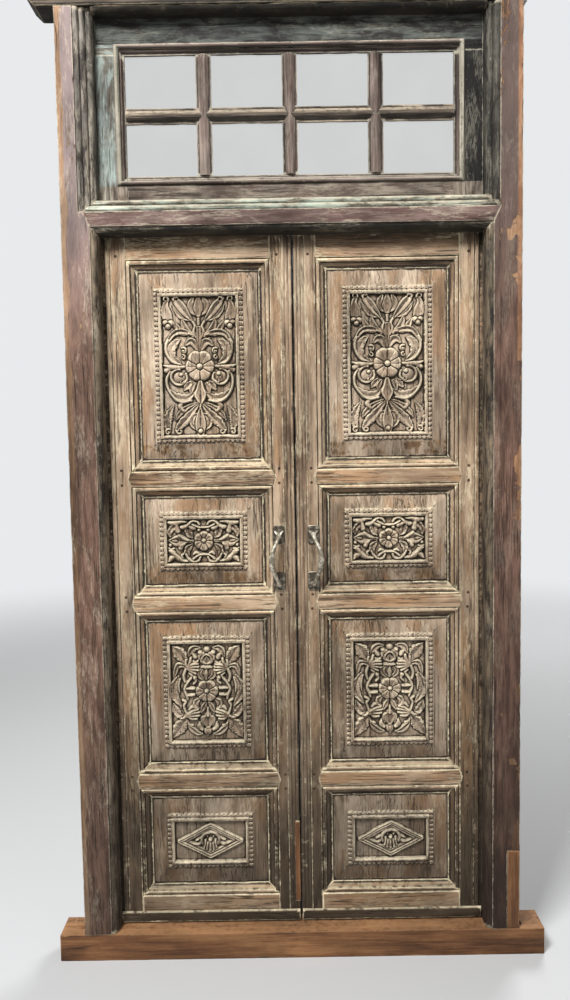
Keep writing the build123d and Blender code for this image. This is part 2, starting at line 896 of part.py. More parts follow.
def make_panel(span, block_height, motif):
    """Panel with a tongue all round, a raised block and the carving on it."""
    width = sight_width
    height = span[1] - span[0]
    centre_x = (sight_inner + sight_outer) / 2
    centre_z = (span[0] + span[1]) / 2

    def level(sink):
        return Plane(origin=(centre_x, leaf_y + sink, centre_z), x_dir=(1, 0, 0), z_dir=(0, -1, 0))

    back = panel_sink + panel_fit + panel_tongue_thickness
    tongue = Rectangle(width + 2 * panel_tongue, height + 2 * panel_tongue)
    panel = extrude(level(back) * tongue, panel_tongue_thickness)
    plan = field_section(width, block_width, back, lambda s, t: (centre_x + s, leaf_y + t))
    profile = field_section(height, block_height, back, lambda s, t: (leaf_y + t, centre_z + s))
    panel += along_z(plan, *span) & along_x(profile, sight_inner, sight_outer)
    back_face = Rectangle(width - 2 * panel_back_margin, height - 2 * panel_back_margin)
    panel += extrude(level(back + panel_back_field) * back_face, panel_back_field)

    border = fillet_width + frieze_width
    ground_width = block_width - 2 * border
    ground_height = block_height - 2 * border
    ground = Rectangle(ground_width, ground_height)
    panel -= extrude(level(ground_sink) * ground, ground_sink)
    half_width = ground_width / 2
    half_height = ground_height / 2
    opening = (
        centre_x - half_width, centre_x + half_width, centre_z - half_height, centre_z + half_height
    )
    panel += ring_around(opening, leaf_y, border_section)
    for shapes, relief in motif.layers(ground_width, ground_height):
        for shape in shapes:
            panel += extrude(level(ground_sink + waste_margin) * shape, relief + waste_margin)
    return panel


def make_panels():
    """All panels of a leaf by name, from the bottom up."""
    names = ["lower_wide_panel", "square_panel", "upper_wide_panel", "tall_panel"]
    blocks = [lower_wide_block, square_block, upper_wide_block, tall_block]
    motifs = [lower_wide_motif, square_motif, upper_wide_motif, tall_motif]
    spans = panel_positions()
    return {name: make_panel(*rest) for name, *rest in zip(names, spans, blocks, motifs)}


# Pull handle

def plate_centres():
    """Height of the middle of each handle plate."""
    middle = sill_height + handle_height
    return middle + handle_feet / 2, middle - handle_feet / 2


def make_handle():
    """Cast handle: a bow that sways outwards between two plates with bosses."""
    plate_y = leaf_y - plate_thickness
    top, bottom = plate_centres()
    foot_y = plate_y - boss_height / 2
    middle = (handle_offset + handle_sway, leaf_y - handle_reach, (top + bottom) / 2)
    bow = ThreePointArc((handle_offset, foot_y, top), middle, (handle_offset, foot_y, bottom))
    route = Polyline(*[bow @ (i / bow_steps) for i in range(bow_steps + 1)])
    profile = Plane(origin=route @ 0, z_dir=route % 0) * RegularPolygon(bow_radius, bow_sides)
    handle = sweep(profile, path=route, transition=Transition.RIGHT)
    outline = chamfer(Rectangle(plate_width, plate_height).vertices(), plate_chamfer)
    for z in (top, bottom):
        boss_plane = Plane(origin=(handle_offset, plate_y, z), x_dir=(1, 0, 0), z_dir=(0, -1, 0))
        handle += extrude(boss_plane * RegularPolygon(boss_radius, bow_sides), boss_height)
        handle += from_front(Pos(handle_offset, z) * outline, plate_y, leaf_y)
    return handle


# Pivots of the right leaf

def pivot_bar(radius, z_from, z_to):
    """Round bar about the pivot axis."""
    return along_z(Pos(*pivot_axis()) * Circle(radius), z_from, z_to)


def make_pivots():
    """Lower and upper pivot pins, fixed in the leaf."""
    lower = pivot_bar(pivot_radius, sill_height - pivot_in_sill, leaf_bottom + pivot_in_leaf)
    upper = pivot_bar(pivot_radius, leaf_top - pivot_in_leaf, leaf_top + pivot_in_bar)
    return [lower, upper]


def pivot_sockets():
    """Both leaves' sockets in the sill and the transom bar, with room for the pins to turn."""
    radius = pivot_radius + pivot_fit
    lower = pivot_bar(radius, sill_height - pivot_in_sill, sill_height + waste_margin)
    upper = pivot_bar(radius, bar_bottom, leaf_top + pivot_in_bar + pivot_top_gap)
    sockets = lower + upper
    return sockets + mirror(sockets, about=Plane.YZ)


# One whole leaf

def make_leaf():
    """Every piece of the right leaf by name."""
    rails = make_rails()
    stiles = {"meeting_stile": make_meeting_stile(), "hinge_stile": make_hinge_stile()}
    pivots = make_pivots()
    grooves = panel_grooves()
    for rail in rails.values():
        stiles = {name: stile - rail for name, stile in stiles.items()}
    for pivot in pivots:
        stiles["hinge_stile"] -= pivot
    pieces = {name: wood - grooves for name, wood in {**rails, **stiles}.items()}
    pieces |= make_panels()
    pieces["base_strip"] = make_base_strip()
    pieces["handle"] = make_handle()
    pieces["lower_pivot"], pieces["upper_pivot"] = pivots
    return pieces


# Frame and fanlight

sockets = pivot_sockets()
jamb_patch = jamb_patch_block()
save("sill", make_sill() - sockets)
save("left_jamb", mirror(make_jamb(left_upper_moulding), about=Plane.YZ))
save("right_jamb", make_jamb(right_upper_moulding) - jamb_patch)
save("jamb_patch", jamb_patch)
save("transom_bar", make_transom_bar() - sockets)
save("head_beam", make_head())
save("head_stop", make_head_stop())
for piece_name, sash_piece in make_sash_frame().items():
    save(piece_name, sash_piece)
sash_uprights, sash_crosses = make_sash_bars()
for bar_name, upright_bar in zip(("left", "middle", "right"), sash_uprights):
    save(f"sash_{bar_name}_bar", upright_bar)
save("sash_cross_bars", *sash_crosses)
save("sash_bead", *make_sash_bead())
save("sash_panes", *make_panes())

# Leaves

for piece_name, right_piece in make_leaf().items():
    left_piece = mirror(right_piece, about=Plane.YZ)
    if piece_name == "meeting_stile":
        left_piece -= mirror(stile_patch_block(leaf_y - waste_margin), about=Plane.YZ)
    save(f"right_{piece_name}", right_piece)
    save(f"left_{piece_name}", left_piece)
save("left_stile_patch", mirror(stile_patch_block(leaf_y), about=Plane.YZ))
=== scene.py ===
"""Looks of a carved double door in its moulded frame, with a glazed fanlight over it.

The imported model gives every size. The timber members are worn copies of its pieces: their arrises
are rounded, cut into short lengths and nibbled. The eight carved panels are height fields, worked
out on grids from strokes with rounded, veined or grooved sections. Handles, pegs and screws are
rings carried along lines. Lengths are in metres, except where a class says millimetres.
"""

import logging
import math
from dataclasses import dataclass, field
from enum import Enum

import bmesh
import bpy
import numpy as np
from bpy.types import Material, Mesh, Node, NodeSocket, NodeTree, Object
from mathutils import Matrix, Vector


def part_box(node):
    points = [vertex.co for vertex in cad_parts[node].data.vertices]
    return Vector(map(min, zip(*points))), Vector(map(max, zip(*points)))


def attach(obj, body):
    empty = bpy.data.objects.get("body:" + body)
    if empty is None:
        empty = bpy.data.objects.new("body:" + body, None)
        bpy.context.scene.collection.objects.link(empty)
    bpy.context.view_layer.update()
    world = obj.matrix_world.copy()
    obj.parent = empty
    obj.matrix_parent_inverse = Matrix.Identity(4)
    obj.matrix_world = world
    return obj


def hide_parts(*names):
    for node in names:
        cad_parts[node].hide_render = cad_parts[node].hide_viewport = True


LOG = logging.getLogger("carved_door")
MM = 0.001
Array = np.ndarray
Triple = tuple[float, float, float]
Colour = Triple
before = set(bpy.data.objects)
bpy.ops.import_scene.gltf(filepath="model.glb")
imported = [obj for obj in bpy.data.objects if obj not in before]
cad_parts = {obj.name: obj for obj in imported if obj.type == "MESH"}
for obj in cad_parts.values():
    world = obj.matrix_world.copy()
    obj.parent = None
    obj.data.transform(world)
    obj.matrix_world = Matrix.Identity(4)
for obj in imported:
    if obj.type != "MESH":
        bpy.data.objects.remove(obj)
CREASE = math.radians(38)
NOISE_TABLE = 4096
NOISE_STEPS = (73856093, 19349663, 83492791)


# Small mathematics

def srgb(red: int, green: int, blue: int) -> Colour:
    """Turns a colour of 0 to 255 per channel into the linear values that shaders use.

    Args:
        red, green, blue: channels as a picture shows them.

    Returns:
        Three linear values from 0 to 1.
    """
    shares = np.array([red, green, blue]) / 255
    linear = np.where(shares > 0.04045, ((shares + 0.055) / 1.055) ** 2.4, shares / 12.92)
    return tuple(float(value) for value in linear)


def smooth(low: float, high: float, value: Array) -> Array:
    """Smoothstep: 0 below low, 1 above high, 3t²-2t³ between."""
    share = np.clip((value - low) / (high - low), 0, 1)
    return share * share * (3 - 2 * share)


def cloud(points: Array, cell: float, seed: int) -> Array:
    """Value noise: a random number at each corner of a cubic lattice, blended by smoothstep.

    Args:
        points: N points with three coordinates.
        cell: side of a lattice cell, in the points' unit.
        seed: picks the table of random numbers.

    Returns:
        N values from 0 to 1.
    """
    table = np.random.default_rng(seed).random(NOISE_TABLE)
    scaled = points / cell
    base = np.floor(scaled).astype(np.int64)
    part = scaled - base
    ease = part * part * (3 - 2 * part)
    total = np.zeros(len(points))
    for corner in range(8):
        step = np.array([corner & 1, corner >> 1 & 1, corner >> 2 & 1])
        at = base + step
        key = np.bitwise_xor.reduce(at * NOISE_STEPS, axis=1)
        total += np.prod(np.where(step, ease, 1 - ease), axis=1) * table[key % NOISE_TABLE]
    return total


def smooth_line(points: Array, count: int) -> Array:
    """Catmull-Rom curve through points: each span is a cubic whose end slopes are half the chord
    between the neighbours.

    Args:
        points: K points with any number of coordinates.
        count: number of points to return.

    Returns:
        count points, evenly spread in the curve's parameter.
    """
    given = np.asarray(points, float)
    given = given.reshape(len(given), -1)
    padded = np.vstack([2 * given[0] - given[1], given, 2 * given[-1] - given[-2]])
    place = np.linspace(0, len(given) - 1, count)
    span = np.minimum(place.astype(int), len(given) - 2)
    t = (place - span)[:, None]
    p0, p1, p2, p3 = (padded[span + i] for i in range(4))
    bend = 2 * p0 - 5 * p1 + 4 * p2 - p3
    turn = -p0 + 3 * p1 - 3 * p2 + p3
    return 0.5 * (2 * p1 + (p2 - p0) * t + bend * t ** 2 + turn * t ** 3)


def soften(values: Array, radius: int) -> Array:
    """Box average over 2·radius+1 cells along both axes, taken from running sums."""
    result = values
    for axis in (0, 1):
        pads = [(radius + 1, radius) if i == axis else (0, 0) for i in (0, 1)]
        sums = np.cumsum(np.pad(result, pads, mode="edge"), axis=axis)
        upper = np.take(sums, range(2 * radius + 1, sums.shape[axis]), axis=axis)
        lower = np.take(sums, range(0, sums.shape[axis] - 2 * radius - 1), axis=axis)
        result = (upper - lower) / (2 * radius + 1)
    return result


# Meshes

def mesh_object(name: str, corners: Array, faces: list[Array], marks: dict[str, Array]) -> Object:
    """Makes a mesh object at the origin from whole arrays.

    Args:
        name: name of the object.
        corners: N points.
        faces: arrays of corner numbers, each M×K for M faces of K corners.
        marks: one value per corner for each named attribute.

    Returns:
        The object, linked to the scene and shaded smooth.
    """
    loops = np.concatenate([group.ravel() for group in faces])
    sizes = np.concatenate([np.full(len(group), group.shape[1]) for group in faces])
    starts = np.concatenate([[0], np.cumsum(sizes)[:-1]])
    mesh = bpy.data.meshes.new(name)
    mesh.vertices.add(len(corners))
    mesh.vertices.foreach_set("co", np.asarray(corners, np.float32).ravel())
    mesh.loops.add(len(loops))
    mesh.loops.foreach_set("vertex_index", loops.astype(np.int32))
    mesh.polygons.add(len(sizes))
    mesh.polygons.foreach_set("loop_start", starts.astype(np.int32))
    mesh.update(calc_edges=True)
    for mark, values in marks.items():
        layer = mesh.attributes.new(mark, "FLOAT", "POINT")
        layer.data.foreach_set("value", np.asarray(values, np.float32))
    return shaded(name, mesh)


def shaded(name: str, mesh: Mesh) -> Object:
    """Links a mesh as an object, smooth except at edges sharper than CREASE, and marks each
    corner with how far it faces upward, from -1 to 1."""
    mesh.validate()
    normals = np.empty(len(mesh.vertices) * 3, np.float32)
    mesh.vertex_normals.foreach_get("vector", normals)
    layer = mesh.attributes.new("upward", "FLOAT", "POINT")
    layer.data.foreach_set("value", normals[2::3].copy())
    mesh.polygons.foreach_set("use_smooth", np.ones(len(mesh.polygons), bool))
    mesh.set_sharp_from_angle(angle=CREASE)
    piece = bpy.data.objects.new(name, mesh)
    bpy.context.scene.collection.objects.link(piece)
    return piece


def ring_faces(rings: int, sides: int, first: int = 0) -> list[Array]:
    """Faces of a closed tube of rings×sides corners, with a flat face on each end."""
    row, column = np.meshgrid(np.arange(rings - 1), np.arange(sides), indexing="ij")
    here = first + row * sides + column
    beside = first + row * sides + (column + 1) % sides
    walls = np.stack([here, beside, beside + sides, here + sides], axis=-1).reshape(-1, 4)
    start = first + np.arange(sides)[::-1][None]
    end = first + (rings - 1) * sides + np.arange(sides)[None]
    return [walls, start, end]


def tubes(name: str, all_rings: list[Array]) -> Object:
    """One object of several closed tubes.

    Args:
        name: name of the object.
        all_rings: one array per tube, rings×sides×3.

    Returns:
        The object. Its normals are turned outwards after the corners are joined.
    """
    corners, faces, first = [], [], 0
    for rings in all_rings:
        corners.append(rings.reshape(-1, 3))
        faces += ring_faces(rings.shape[0], rings.shape[1], first)
        first += rings.shape[0] * rings.shape[1]
    piece = mesh_object(name, np.vstack(corners), faces, {})
    shape = bmesh.new()
    shape.from_mesh(piece.data)
    bmesh.ops.remove_doubles(shape, verts=shape.verts, dist=1e-6)
    bmesh.ops.recalc_face_normals(shape, faces=shape.faces)
    shape.to_mesh(piece.data)
    shape.free()
    piece.data.set_sharp_from_angle(angle=CREASE)
    return piece


def lathe_rings(centre: Array, outline: list[tuple[float, float]], sides: int) -> Array:
    """Rings of a turned form that stands on the leaf: each pair of outline is (radius, distance
    in front of centre), and the circle of that radius lies in the plane of the leaf."""
    turn = np.linspace(0, 2 * np.pi, sides, endpoint=False)
    radius, ahead = np.array(outline).T[:, :, None]
    flat = np.broadcast_to(-ahead, (len(outline), sides))
    return np.stack([radius * np.cos(turn), flat, radius * np.sin(turn)], axis=-1) + centre


# Worn timber

MERGE = 2e-5
FLAT_ANGLE = math.radians(0.6)
SHARP_ANGLE = 0.5
FULL_MARK_ANGLE = math.radians(26)
BORDERS = ((0.008, 0.016, 0.0022), (0.016, 9.0, 0.0045))


@dataclass(frozen=True)
class Wear:
    """How far the years have worn a member. Lengths in metres. rounding is that of its arrises
    and pitch the spacing of the cuts across it. wave and nibble are the depths of the slow wear
    and of the bites in arrises, and wave_cell and nibble_cell the cells of their noises."""

    seed: int
    rounding: float = 0.0012
    nibble: float = 0.002
    wave: float = 0.0005
    pitch: float = 0.018
    wave_cell: float = 0.11
    nibble_cell: float = 0.022


def sliced_copy(node: str, axis: int, wear: Wear) -> Mesh:
    """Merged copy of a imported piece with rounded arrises, cut across its length.

    Args:
        node: name of the piece.
        axis: 0 for a member that runs along X, 2 for one that runs along Z.
        wear: gives the rounding and the spacing of the cuts.

    Returns:
        The new mesh.
    """
    shape = bmesh.new()
    shape.from_mesh(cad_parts[node].data)
    bmesh.ops.remove_doubles(shape, verts=shape.verts, dist=MERGE)
    bmesh.ops.dissolve_limit(shape, angle_limit=FLAT_ANGLE, verts=shape.verts, edges=shape.edges)
    sharp = [e for e in shape.edges if len(e.link_faces) == 2 and e.calc_face_angle(0) > SHARP_ANGLE]
    bmesh.ops.bevel(
        shape, geom=sharp, offset=wear.rounding, offset_type="OFFSET", segments=2,
        profile=0.5, affect="EDGES", clamp_overlap=True,
    )
    inset_flats(shape)
    reach = [v.co[axis] for v in shape.verts]
    low, high = min(reach), max(reach)
    count = max(2, round((high - low) / wear.pitch))
    normal = Vector([float(i == axis) for i in range(3)])
    pending = shape.verts[:] + shape.edges[:] + shape.faces[:]
    for cut in range(1, count):
        level = low + (high - low) * cut / count
        parts = bmesh.ops.bisect_plane(
            shape, geom=pending, dist=1e-6, plane_co=normal * level, plane_no=normal
        )["geom"]
        pending = [part for part in parts if furthest(part, axis) > level - 1e-6]
    mesh = bpy.data.meshes.new(node + "_worn")
    shape.to_mesh(mesh)
    shape.free()
    return mesh


def inset_flats(shape: bmesh.types.BMesh) -> None:
    """Adds a border inside each broad face, so that marks on its arrises fade over that border.
    A face's width is taken as twice its area over its perimeter. BORDERS holds the least width,
    the greatest width and the border that goes with them, in metres."""
    for low, high, border in BORDERS:
        broad = [
            face for face in shape.faces
            if low < 2 * face.calc_area() / face.calc_perimeter() <= high
        ]
        if broad:
            bmesh.ops.inset_individual(shape, faces=broad, thickness=border, use_even_offset=True)


def furthest(part: bmesh.types.BMVert | bmesh.types.BMEdge | bmesh.types.BMFace, axis: int) -> float:
    """Highest coordinate of a corner, edge or face along an axis."""
    if isinstance(part, bmesh.types.BMVert):
        return part.co[axis]
    return max(corner.co[axis] for corner in part.verts)


def corner_marks(mesh: Mesh) -> tuple[Array, Array]:
    """How convex and how concave the mesh is at each corner, from 0 to 1.

    The angle between the two faces of an edge comes from their normals. Its sign comes from
    which side of the first face the second face's middle lies on. A corner takes the largest
    value of its edges.

    Args:
        mesh: a closed mesh.

    Returns:
        Arrays of convexity and concavity, one value per vertex.
    """
    loop_edge = np.empty(len(mesh.loops), np.int32)
    mesh.loops.foreach_get("edge_index", loop_edge)
    sizes = np.empty(len(mesh.polygons), np.int32)
    mesh.polygons.foreach_get("loop_total", sizes)
    normals = np.empty(len(mesh.polygons) * 3, np.float32)
    mesh.polygons.foreach_get("normal", normals)
    centres = np.empty(len(mesh.polygons) * 3, np.float32)
    mesh.polygons.foreach_get("center", centres)
    ends = np.empty(len(mesh.edges) * 2, np.int32)
    mesh.edges.foreach_get("vertices", ends)
    normals, centres, ends = normals.reshape(-1, 3), centres.reshape(-1, 3), ends.reshape(-1, 2)
    face_of = np.repeat(np.arange(len(sizes)), sizes)
    order = np.argsort(loop_edge, kind="stable")
    edges, faces = loop_edge[order], face_of[order]
    paired = np.flatnonzero(edges[:-1] == edges[1:])
    one, other, edge = faces[paired], faces[paired + 1], edges[paired]
    angle = np.arccos(np.clip(np.sum(normals[one] * normals[other], axis=1), -1, 1))
    side = np.sum(normals[one] * (centres[other] - centres[one]), axis=1)
    amount = np.clip(angle / FULL_MARK_ANGLE, 0, 1)
    convex, concave = np.zeros(len(mesh.vertices)), np.zeros(len(mesh.vertices))
    for end in (0, 1):
        np.maximum.at(convex, ends[edge, end], np.where(side < 0, amount, 0))
        np.maximum.at(concave, ends[edge, end], np.where(side > 0, amount, 0))
    return convex, concave


def worn_member(node: str, axis: int, wear: Wear) -> Object:
    """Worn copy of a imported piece, marked for its finish.

    Each corner moves into the wood, against its normal, by a slow wave and, along arrises, by
    nibbles where a finer noise is high. Nothing moves outwards, so the copy stays in the piece.

    Args:
        node: name of the piece.
        axis: the axis that it runs along.
        wear: how far it is worn.

    Returns:
        The new object, with the attributes edge, hollow and upward.
    """
    mesh = sliced_copy(node, axis, wear)
    convex, concave = corner_marks(mesh)
    count = len(mesh.vertices)
    place, normal = np.empty(count * 3, np.float32), np.empty(count * 3, np.float32)
    mesh.vertices.foreach_get("co", place)
    mesh.vertex_normals.foreach_get("vector", normal)
    place, normal = place.reshape(-1, 3).astype(float), normal.reshape(-1, 3)
    slow = cloud(place, wear.wave_cell, wear.seed)
    fine = smooth(0.58, 0.86, cloud(place, wear.nibble_cell, wear.seed + 1))
    depth = wear.wave * slow + wear.nibble * fine * convex
    place -= normal * depth[:, None]
    mesh.vertices.foreach_set("co", place.astype(np.float32).ravel())
    for name, values in (("edge", convex), ("hollow", concave)):
        layer = mesh.attributes.new(name, "FLOAT", "POINT")
        layer.data.foreach_set("value", values.astype(np.float32))
    mesh.update()
    return shaded(node + "_worn", mesh)


# Shader graphs

class Graph:
    """A shader tree under construction, with short calls for the nodes used here."""

    def __init__(self, tree: NodeTree) -> None:
        """Keeps the tree.

        Args:
            tree: the node tree that the calls add to.
        """
        self.tree = tree

    def node(self, kind: str, settings: dict | None = None, **sockets) -> Node:
        """Adds a node.

        Args:
            kind: Blender's name of the node type.
            settings: properties to set on the node.
            sockets: values or outputs for its inputs, by name with _ for a space.

        Returns:
            The node.
        """
        made = self.tree.nodes.new(kind)
        for key, value in (settings or {}).items():
            setattr(made, key, value)
        for key, value in sockets.items():
            self.feed(made.inputs[key.replace("_", " ")], value)
        return made

    def feed(self, socket: NodeSocket, value: object) -> None:
        """Links an output to a socket, or sets the socket's value."""
        if isinstance(value, NodeSocket):
            self.tree.links.new(value, socket)
        elif isinstance(value, tuple) and socket.type == "RGBA":
            socket.default_value = (*value, 1.0)
        else:
            socket.default_value = value

    def math(self, operation: str, *values: object) -> NodeSocket:
        """Adds a Math node and gives its output."""
        made = self.node("ShaderNodeMath", {"operation": operation})
        for socket, value in zip(made.inputs, values):
            self.feed(socket, value)
        return made.outputs[0]

    def times(self, one: object, other: object) -> NodeSocket:
        """Product of two values."""
        return self.math("MULTIPLY", one, other)

    def plus(self, one: object, other: object) -> NodeSocket:
        """Sum of two values."""
        return self.math("ADD", one, other)

    def minus(self, one: object, other: object) -> NodeSocket:
        """The first value less the second."""
        return self.math("SUBTRACT", one, other)

    def between(self, value: object, low: float, high: float) -> NodeSocket:
        """Smoothstep of a value from low to high. With high under low it falls instead."""
        start, end, a, b = (low, high, 0.0, 1.0) if low < high else (high, low, 1.0, 0.0)
        made = self.node(
            "ShaderNodeMapRange", {"interpolation_type": "SMOOTHSTEP"},
            Value=value, From_Min=start, From_Max=end, To_Min=a, To_Max=b,
        )
        return made.outputs[0]

    def mix(self, share: object, under: object, over: object, how: str = "MIX") -> NodeSocket:
        """Mixes two colours by a share from 0 to 1."""
        made = self.node("ShaderNodeMix", {"data_type": "RGBA", "blend_type": how})
        self.feed(made.inputs[0], share)
        self.feed(made.inputs[6], under)
        self.feed(made.inputs[7], over)
        return made.outputs[2]

    def noise(self, place: object, scale: float, detail: float = 3.0, rough: float = 0.55,
              twist: float = 0.0) -> NodeSocket:
        """Noise value at a place: scale cells to the metre, detail octaves that fall off by rough,
        and twist for how far it is distorted."""
        made = self.node(
            "ShaderNodeTexNoise", Vector=place, Scale=scale, Detail=detail, Roughness=rough,
            Distortion=twist,
        )
        return made.outputs[0]

    def stretched(self, place: object, scale: Triple, turn: Triple = (0, 0, 0)) -> NodeSocket:
        """Place turned and then scaled per axis by a Mapping node."""
        made = self.node("ShaderNodeMapping", Vector=place, Rotation=turn, Scale=scale)
        return made.outputs[0]

    def place(self) -> NodeSocket:
        """Object coordinates."""
        return self.node("ShaderNodeTexCoord").outputs["Object"]

    def attribute(self, name: str) -> NodeSocket:
        """Value of a mesh attribute."""
        return self.node("ShaderNodeAttribute", {"attribute_name": name}).outputs["Fac"]

    def group(self, tree: NodeTree, **sockets) -> Node:
        """Adds a group node and feeds its inputs by name."""
        made = self.tree.nodes.new("ShaderNodeGroup")
        made.node_tree = tree
        self.give(made, **sockets)
        return made

    def give(self, node: Node, **sockets) -> NodeTree:
        """Feeds a node's inputs by name and gives the tree."""
        for key, value in sockets.items():
            self.feed(node.inputs[key], value)
        return self.tree


def new_material(name: str) -> tuple[Material, Graph, Node]:
    """Makes a material with nodes.

    Args:
        name: name of the material.

    Returns:
        The material, its graph and its Principled shader.
    """
    made = bpy.data.materials.new(name)
    made.use_nodes = True
    return made, Graph(made.node_tree), made.node_tree.nodes["Principled BSDF"]


def new_group(name: str, inputs: dict[str, str], outputs: list[str]) -> tuple[Graph, Node, Node]:
    """Makes an empty shader group.

    Args:
        name: name of the group.
        inputs: socket types by name, Vector or Float.
        outputs: names of its outputs, all values.

    Returns:
        The group's graph, its input node and its output node.
    """
    tree = bpy.data.node_groups.new(name, "ShaderNodeTree")
    for key, kind in inputs.items():
        tree.interface.new_socket(name=key, in_out="INPUT", socket_type="NodeSocket" + kind)
    for key in outputs:
        tree.interface.new_socket(name=key, in_out="OUTPUT", socket_type="NodeSocketFloat")
    graph = Graph(tree)
    return graph, graph.node("NodeGroupInput"), graph.node("NodeGroupOutput")


def grain_group() -> NodeTree:
    """Timber grain that runs along Z of its coordinates: fibres, broad figure, cracks, relief."""
    graph, given, result = new_group(
        "grain", {"Place": "Vector", "Cracking": "Float"}, ["Fibre", "Figure", "Crack", "Relief"]
    )
    place = given.outputs["Place"]
    fibre = graph.noise(graph.stretched(place, (1, 1, 0.045)), 210, 5, 0.68)
    streak = graph.noise(graph.stretched(place, (1, 1, 0.05)), 58, 3, 0.6, 0.3)
    figure = graph.noise(graph.stretched(place, (1, 1, 0.16)), 11, 3, 0.55, 0.4)
    line = graph.noise(graph.stretched(place, (1, 1, 0.022)), 74, 3, 0.55, 0.5)
    where = graph.noise(graph.stretched(place, (1, 1, 0.3)), 17, 2)
    near = graph.math("ABSOLUTE", graph.minus(line, 0.5))
    thin = graph.between(near, 0.022, 0.004)
    limit = graph.minus(1.0, given.outputs["Cracking"])
    here = graph.between(graph.minus(where, limit), 0.0, 0.08)
    crack = graph.times(thin, here)
    blend = graph.plus(graph.times(fibre, 0.5), graph.times(streak, 0.5))
    relief = graph.minus(blend, graph.times(crack, 0.9))
    return graph.give(result, Fibre=blend, Figure=figure, Crack=crack, Relief=relief)


def wear_group() -> NodeTree:
    """Rubbed arrises, soiling and painted shade in hollows, and scattered flecks, from the marks on a mesh.
    """
    graph, given, result = new_group(
        "wear", {"Place": "Vector", "Edge": "Float", "Hollow": "Float"}, ["Rubbed", "Grime", "Fleck"]
    )
    place = given.outputs["Place"]
    broad = graph.minus(graph.noise(place, 34, 4, 0.65), 0.5)
    small = graph.minus(graph.noise(place, 120, 3, 0.6), 0.5)
    rough = graph.plus(graph.times(broad, 1.3), graph.times(small, 0.9))
    rubbed = graph.between(graph.plus(given.outputs["Edge"], rough), 0.42, 0.85)
    rubbed = graph.times(rubbed, graph.between(given.outputs["Edge"], 0.05, 0.4))
    # Soiling in hollows, which also stands for the painted shade in them.
    grime = graph.between(graph.plus(given.outputs["Hollow"], rough), 0.16, 0.6)
    grime = graph.times(grime, graph.between(given.outputs["Hollow"], 0.04, 0.3))
    fleck = graph.between(graph.noise(place, 165, 4, 0.7), 0.66, 0.71)
    return graph.give(result, Rubbed=rubbed, Grime=grime, Fleck=fleck)


def weather_group() -> NodeTree:
    """What rain, hands and lime leave on old timber: dark smears and pale residue, both along the
    grain, cleaner patches, and stains whose tone is broken by a fine tooth."""
    graph, given, result = new_group(
        "weather", {"Place": "Vector"}, ["Smear", "Residue", "Clean", "Stain"]
    )
    place = given.outputs["Place"]
    run = graph.noise(graph.stretched(place, (1, 1, 0.09)), 62, 5, 0.68, 0.4)
    where = graph.noise(graph.stretched(place, (1, 1, 0.45)), 7, 3, 0.6)
    smear = graph.times(graph.between(run, 0.5, 0.66), graph.between(where, 0.42, 0.6))
    patch = graph.noise(graph.stretched(place, (1, 1, 0.22)), 26, 6, 0.75, 0.5)
    tooth = graph.noise(graph.stretched(place, (1, 1, 0.16)), 260, 4, 0.7)
    residue = graph.times(graph.between(patch, 0.5, 0.6), graph.between(tooth, 0.42, 0.54))
    clean = graph.noise(graph.stretched(place, (1, 1, 0.3)), 10, 5, 0.65, 0.6)
    broad = graph.noise(graph.stretched(place, (1, 1, 0.5)), 8, 4, 0.6, 0.3)
    fine = graph.times(graph.minus(tooth, 0.5), 0.9)
    stain = graph.plus(graph.between(broad, 0.3, 0.66), fine)
    clean = graph.between(clean, 0.46, 0.62)
    return graph.give(result, Smear=smear, Residue=residue, Clean=clean, Stain=stain)


def flake_group() -> NodeTree:
    """Old paint that has flaked off along the grain. Paint is 1 where it still covers, with ragged
    edges, and Lip is 1 along those edges."""
    graph, given, result = new_group("flake", {"Place": "Vector", "Cover": "Float"}, ["Paint", "Lip"])
    place = graph.stretched(given.outputs["Place"], (1, 1, 0.34))
    patch = graph.noise(place, 19, 6, 0.66, 0.8)
    speck = graph.noise(place, 150, 3, 0.6)
    value = graph.plus(graph.times(patch, 0.78), graph.times(speck, 0.22))
    gone = graph.minus(0.78, graph.times(given.outputs["Cover"], 0.56))
    over = graph.minus(value, gone)
    paint = graph.between(over, -0.008, 0.012)
    lip = graph.times(graph.between(over, -0.02, 0.004), graph.between(over, 0.03, 0.01))
    return graph.give(result, Paint=paint, Lip=lip)


class Along(Enum):
    """The way that a member and its grain run: the axis, and the turn that lays the grain on Z."""

    UP = (2, (0.0, 0.0, 0.0))
    ACROSS = (0, (0.0, math.pi / 2, 0.0))

    @property
    def axis(self) -> int:
        """Number of the axis: 0 for X, 2 for Z."""
        return self.value[0]

    @property
    def turn(self) -> Triple:
        """Turn about each axis, in radians."""
        return self.value[1]


@dataclass(frozen=True)
class Band:
    """A part of a member that has its own tones: the stretch from low to high along an axis, 0
    for X and 2 for Z. mirrored takes the distance from the middle of the door instead of the
    coordinate, strength is how far the tones cover, soft how far the ends fade, patchy breaks the
    band up into blotches, and above is the level that it begins at. Lengths in metres."""

    axis: int
    low: float
    high: float
    dark: Colour
    light: Colour
    mirrored: bool = False
    strength: float = 1.0
    soft: float = 0.002
    patchy: bool = False
    above: float | None = None


@dataclass(frozen=True)
class Paint:
    """A coat of old paint: two tones, the share of it that is left, and the distance from the
    middle of the door beyond which the wood is bare. bites is how far the bare wood reaches in,
    upper the tone that the coat has above the transom bar. Lengths in metres."""

    first: Colour
    second: Colour
    cover: float
    bare_beyond: float = 9.0
    bites: float = 0.01
    upper: Colour | None = None


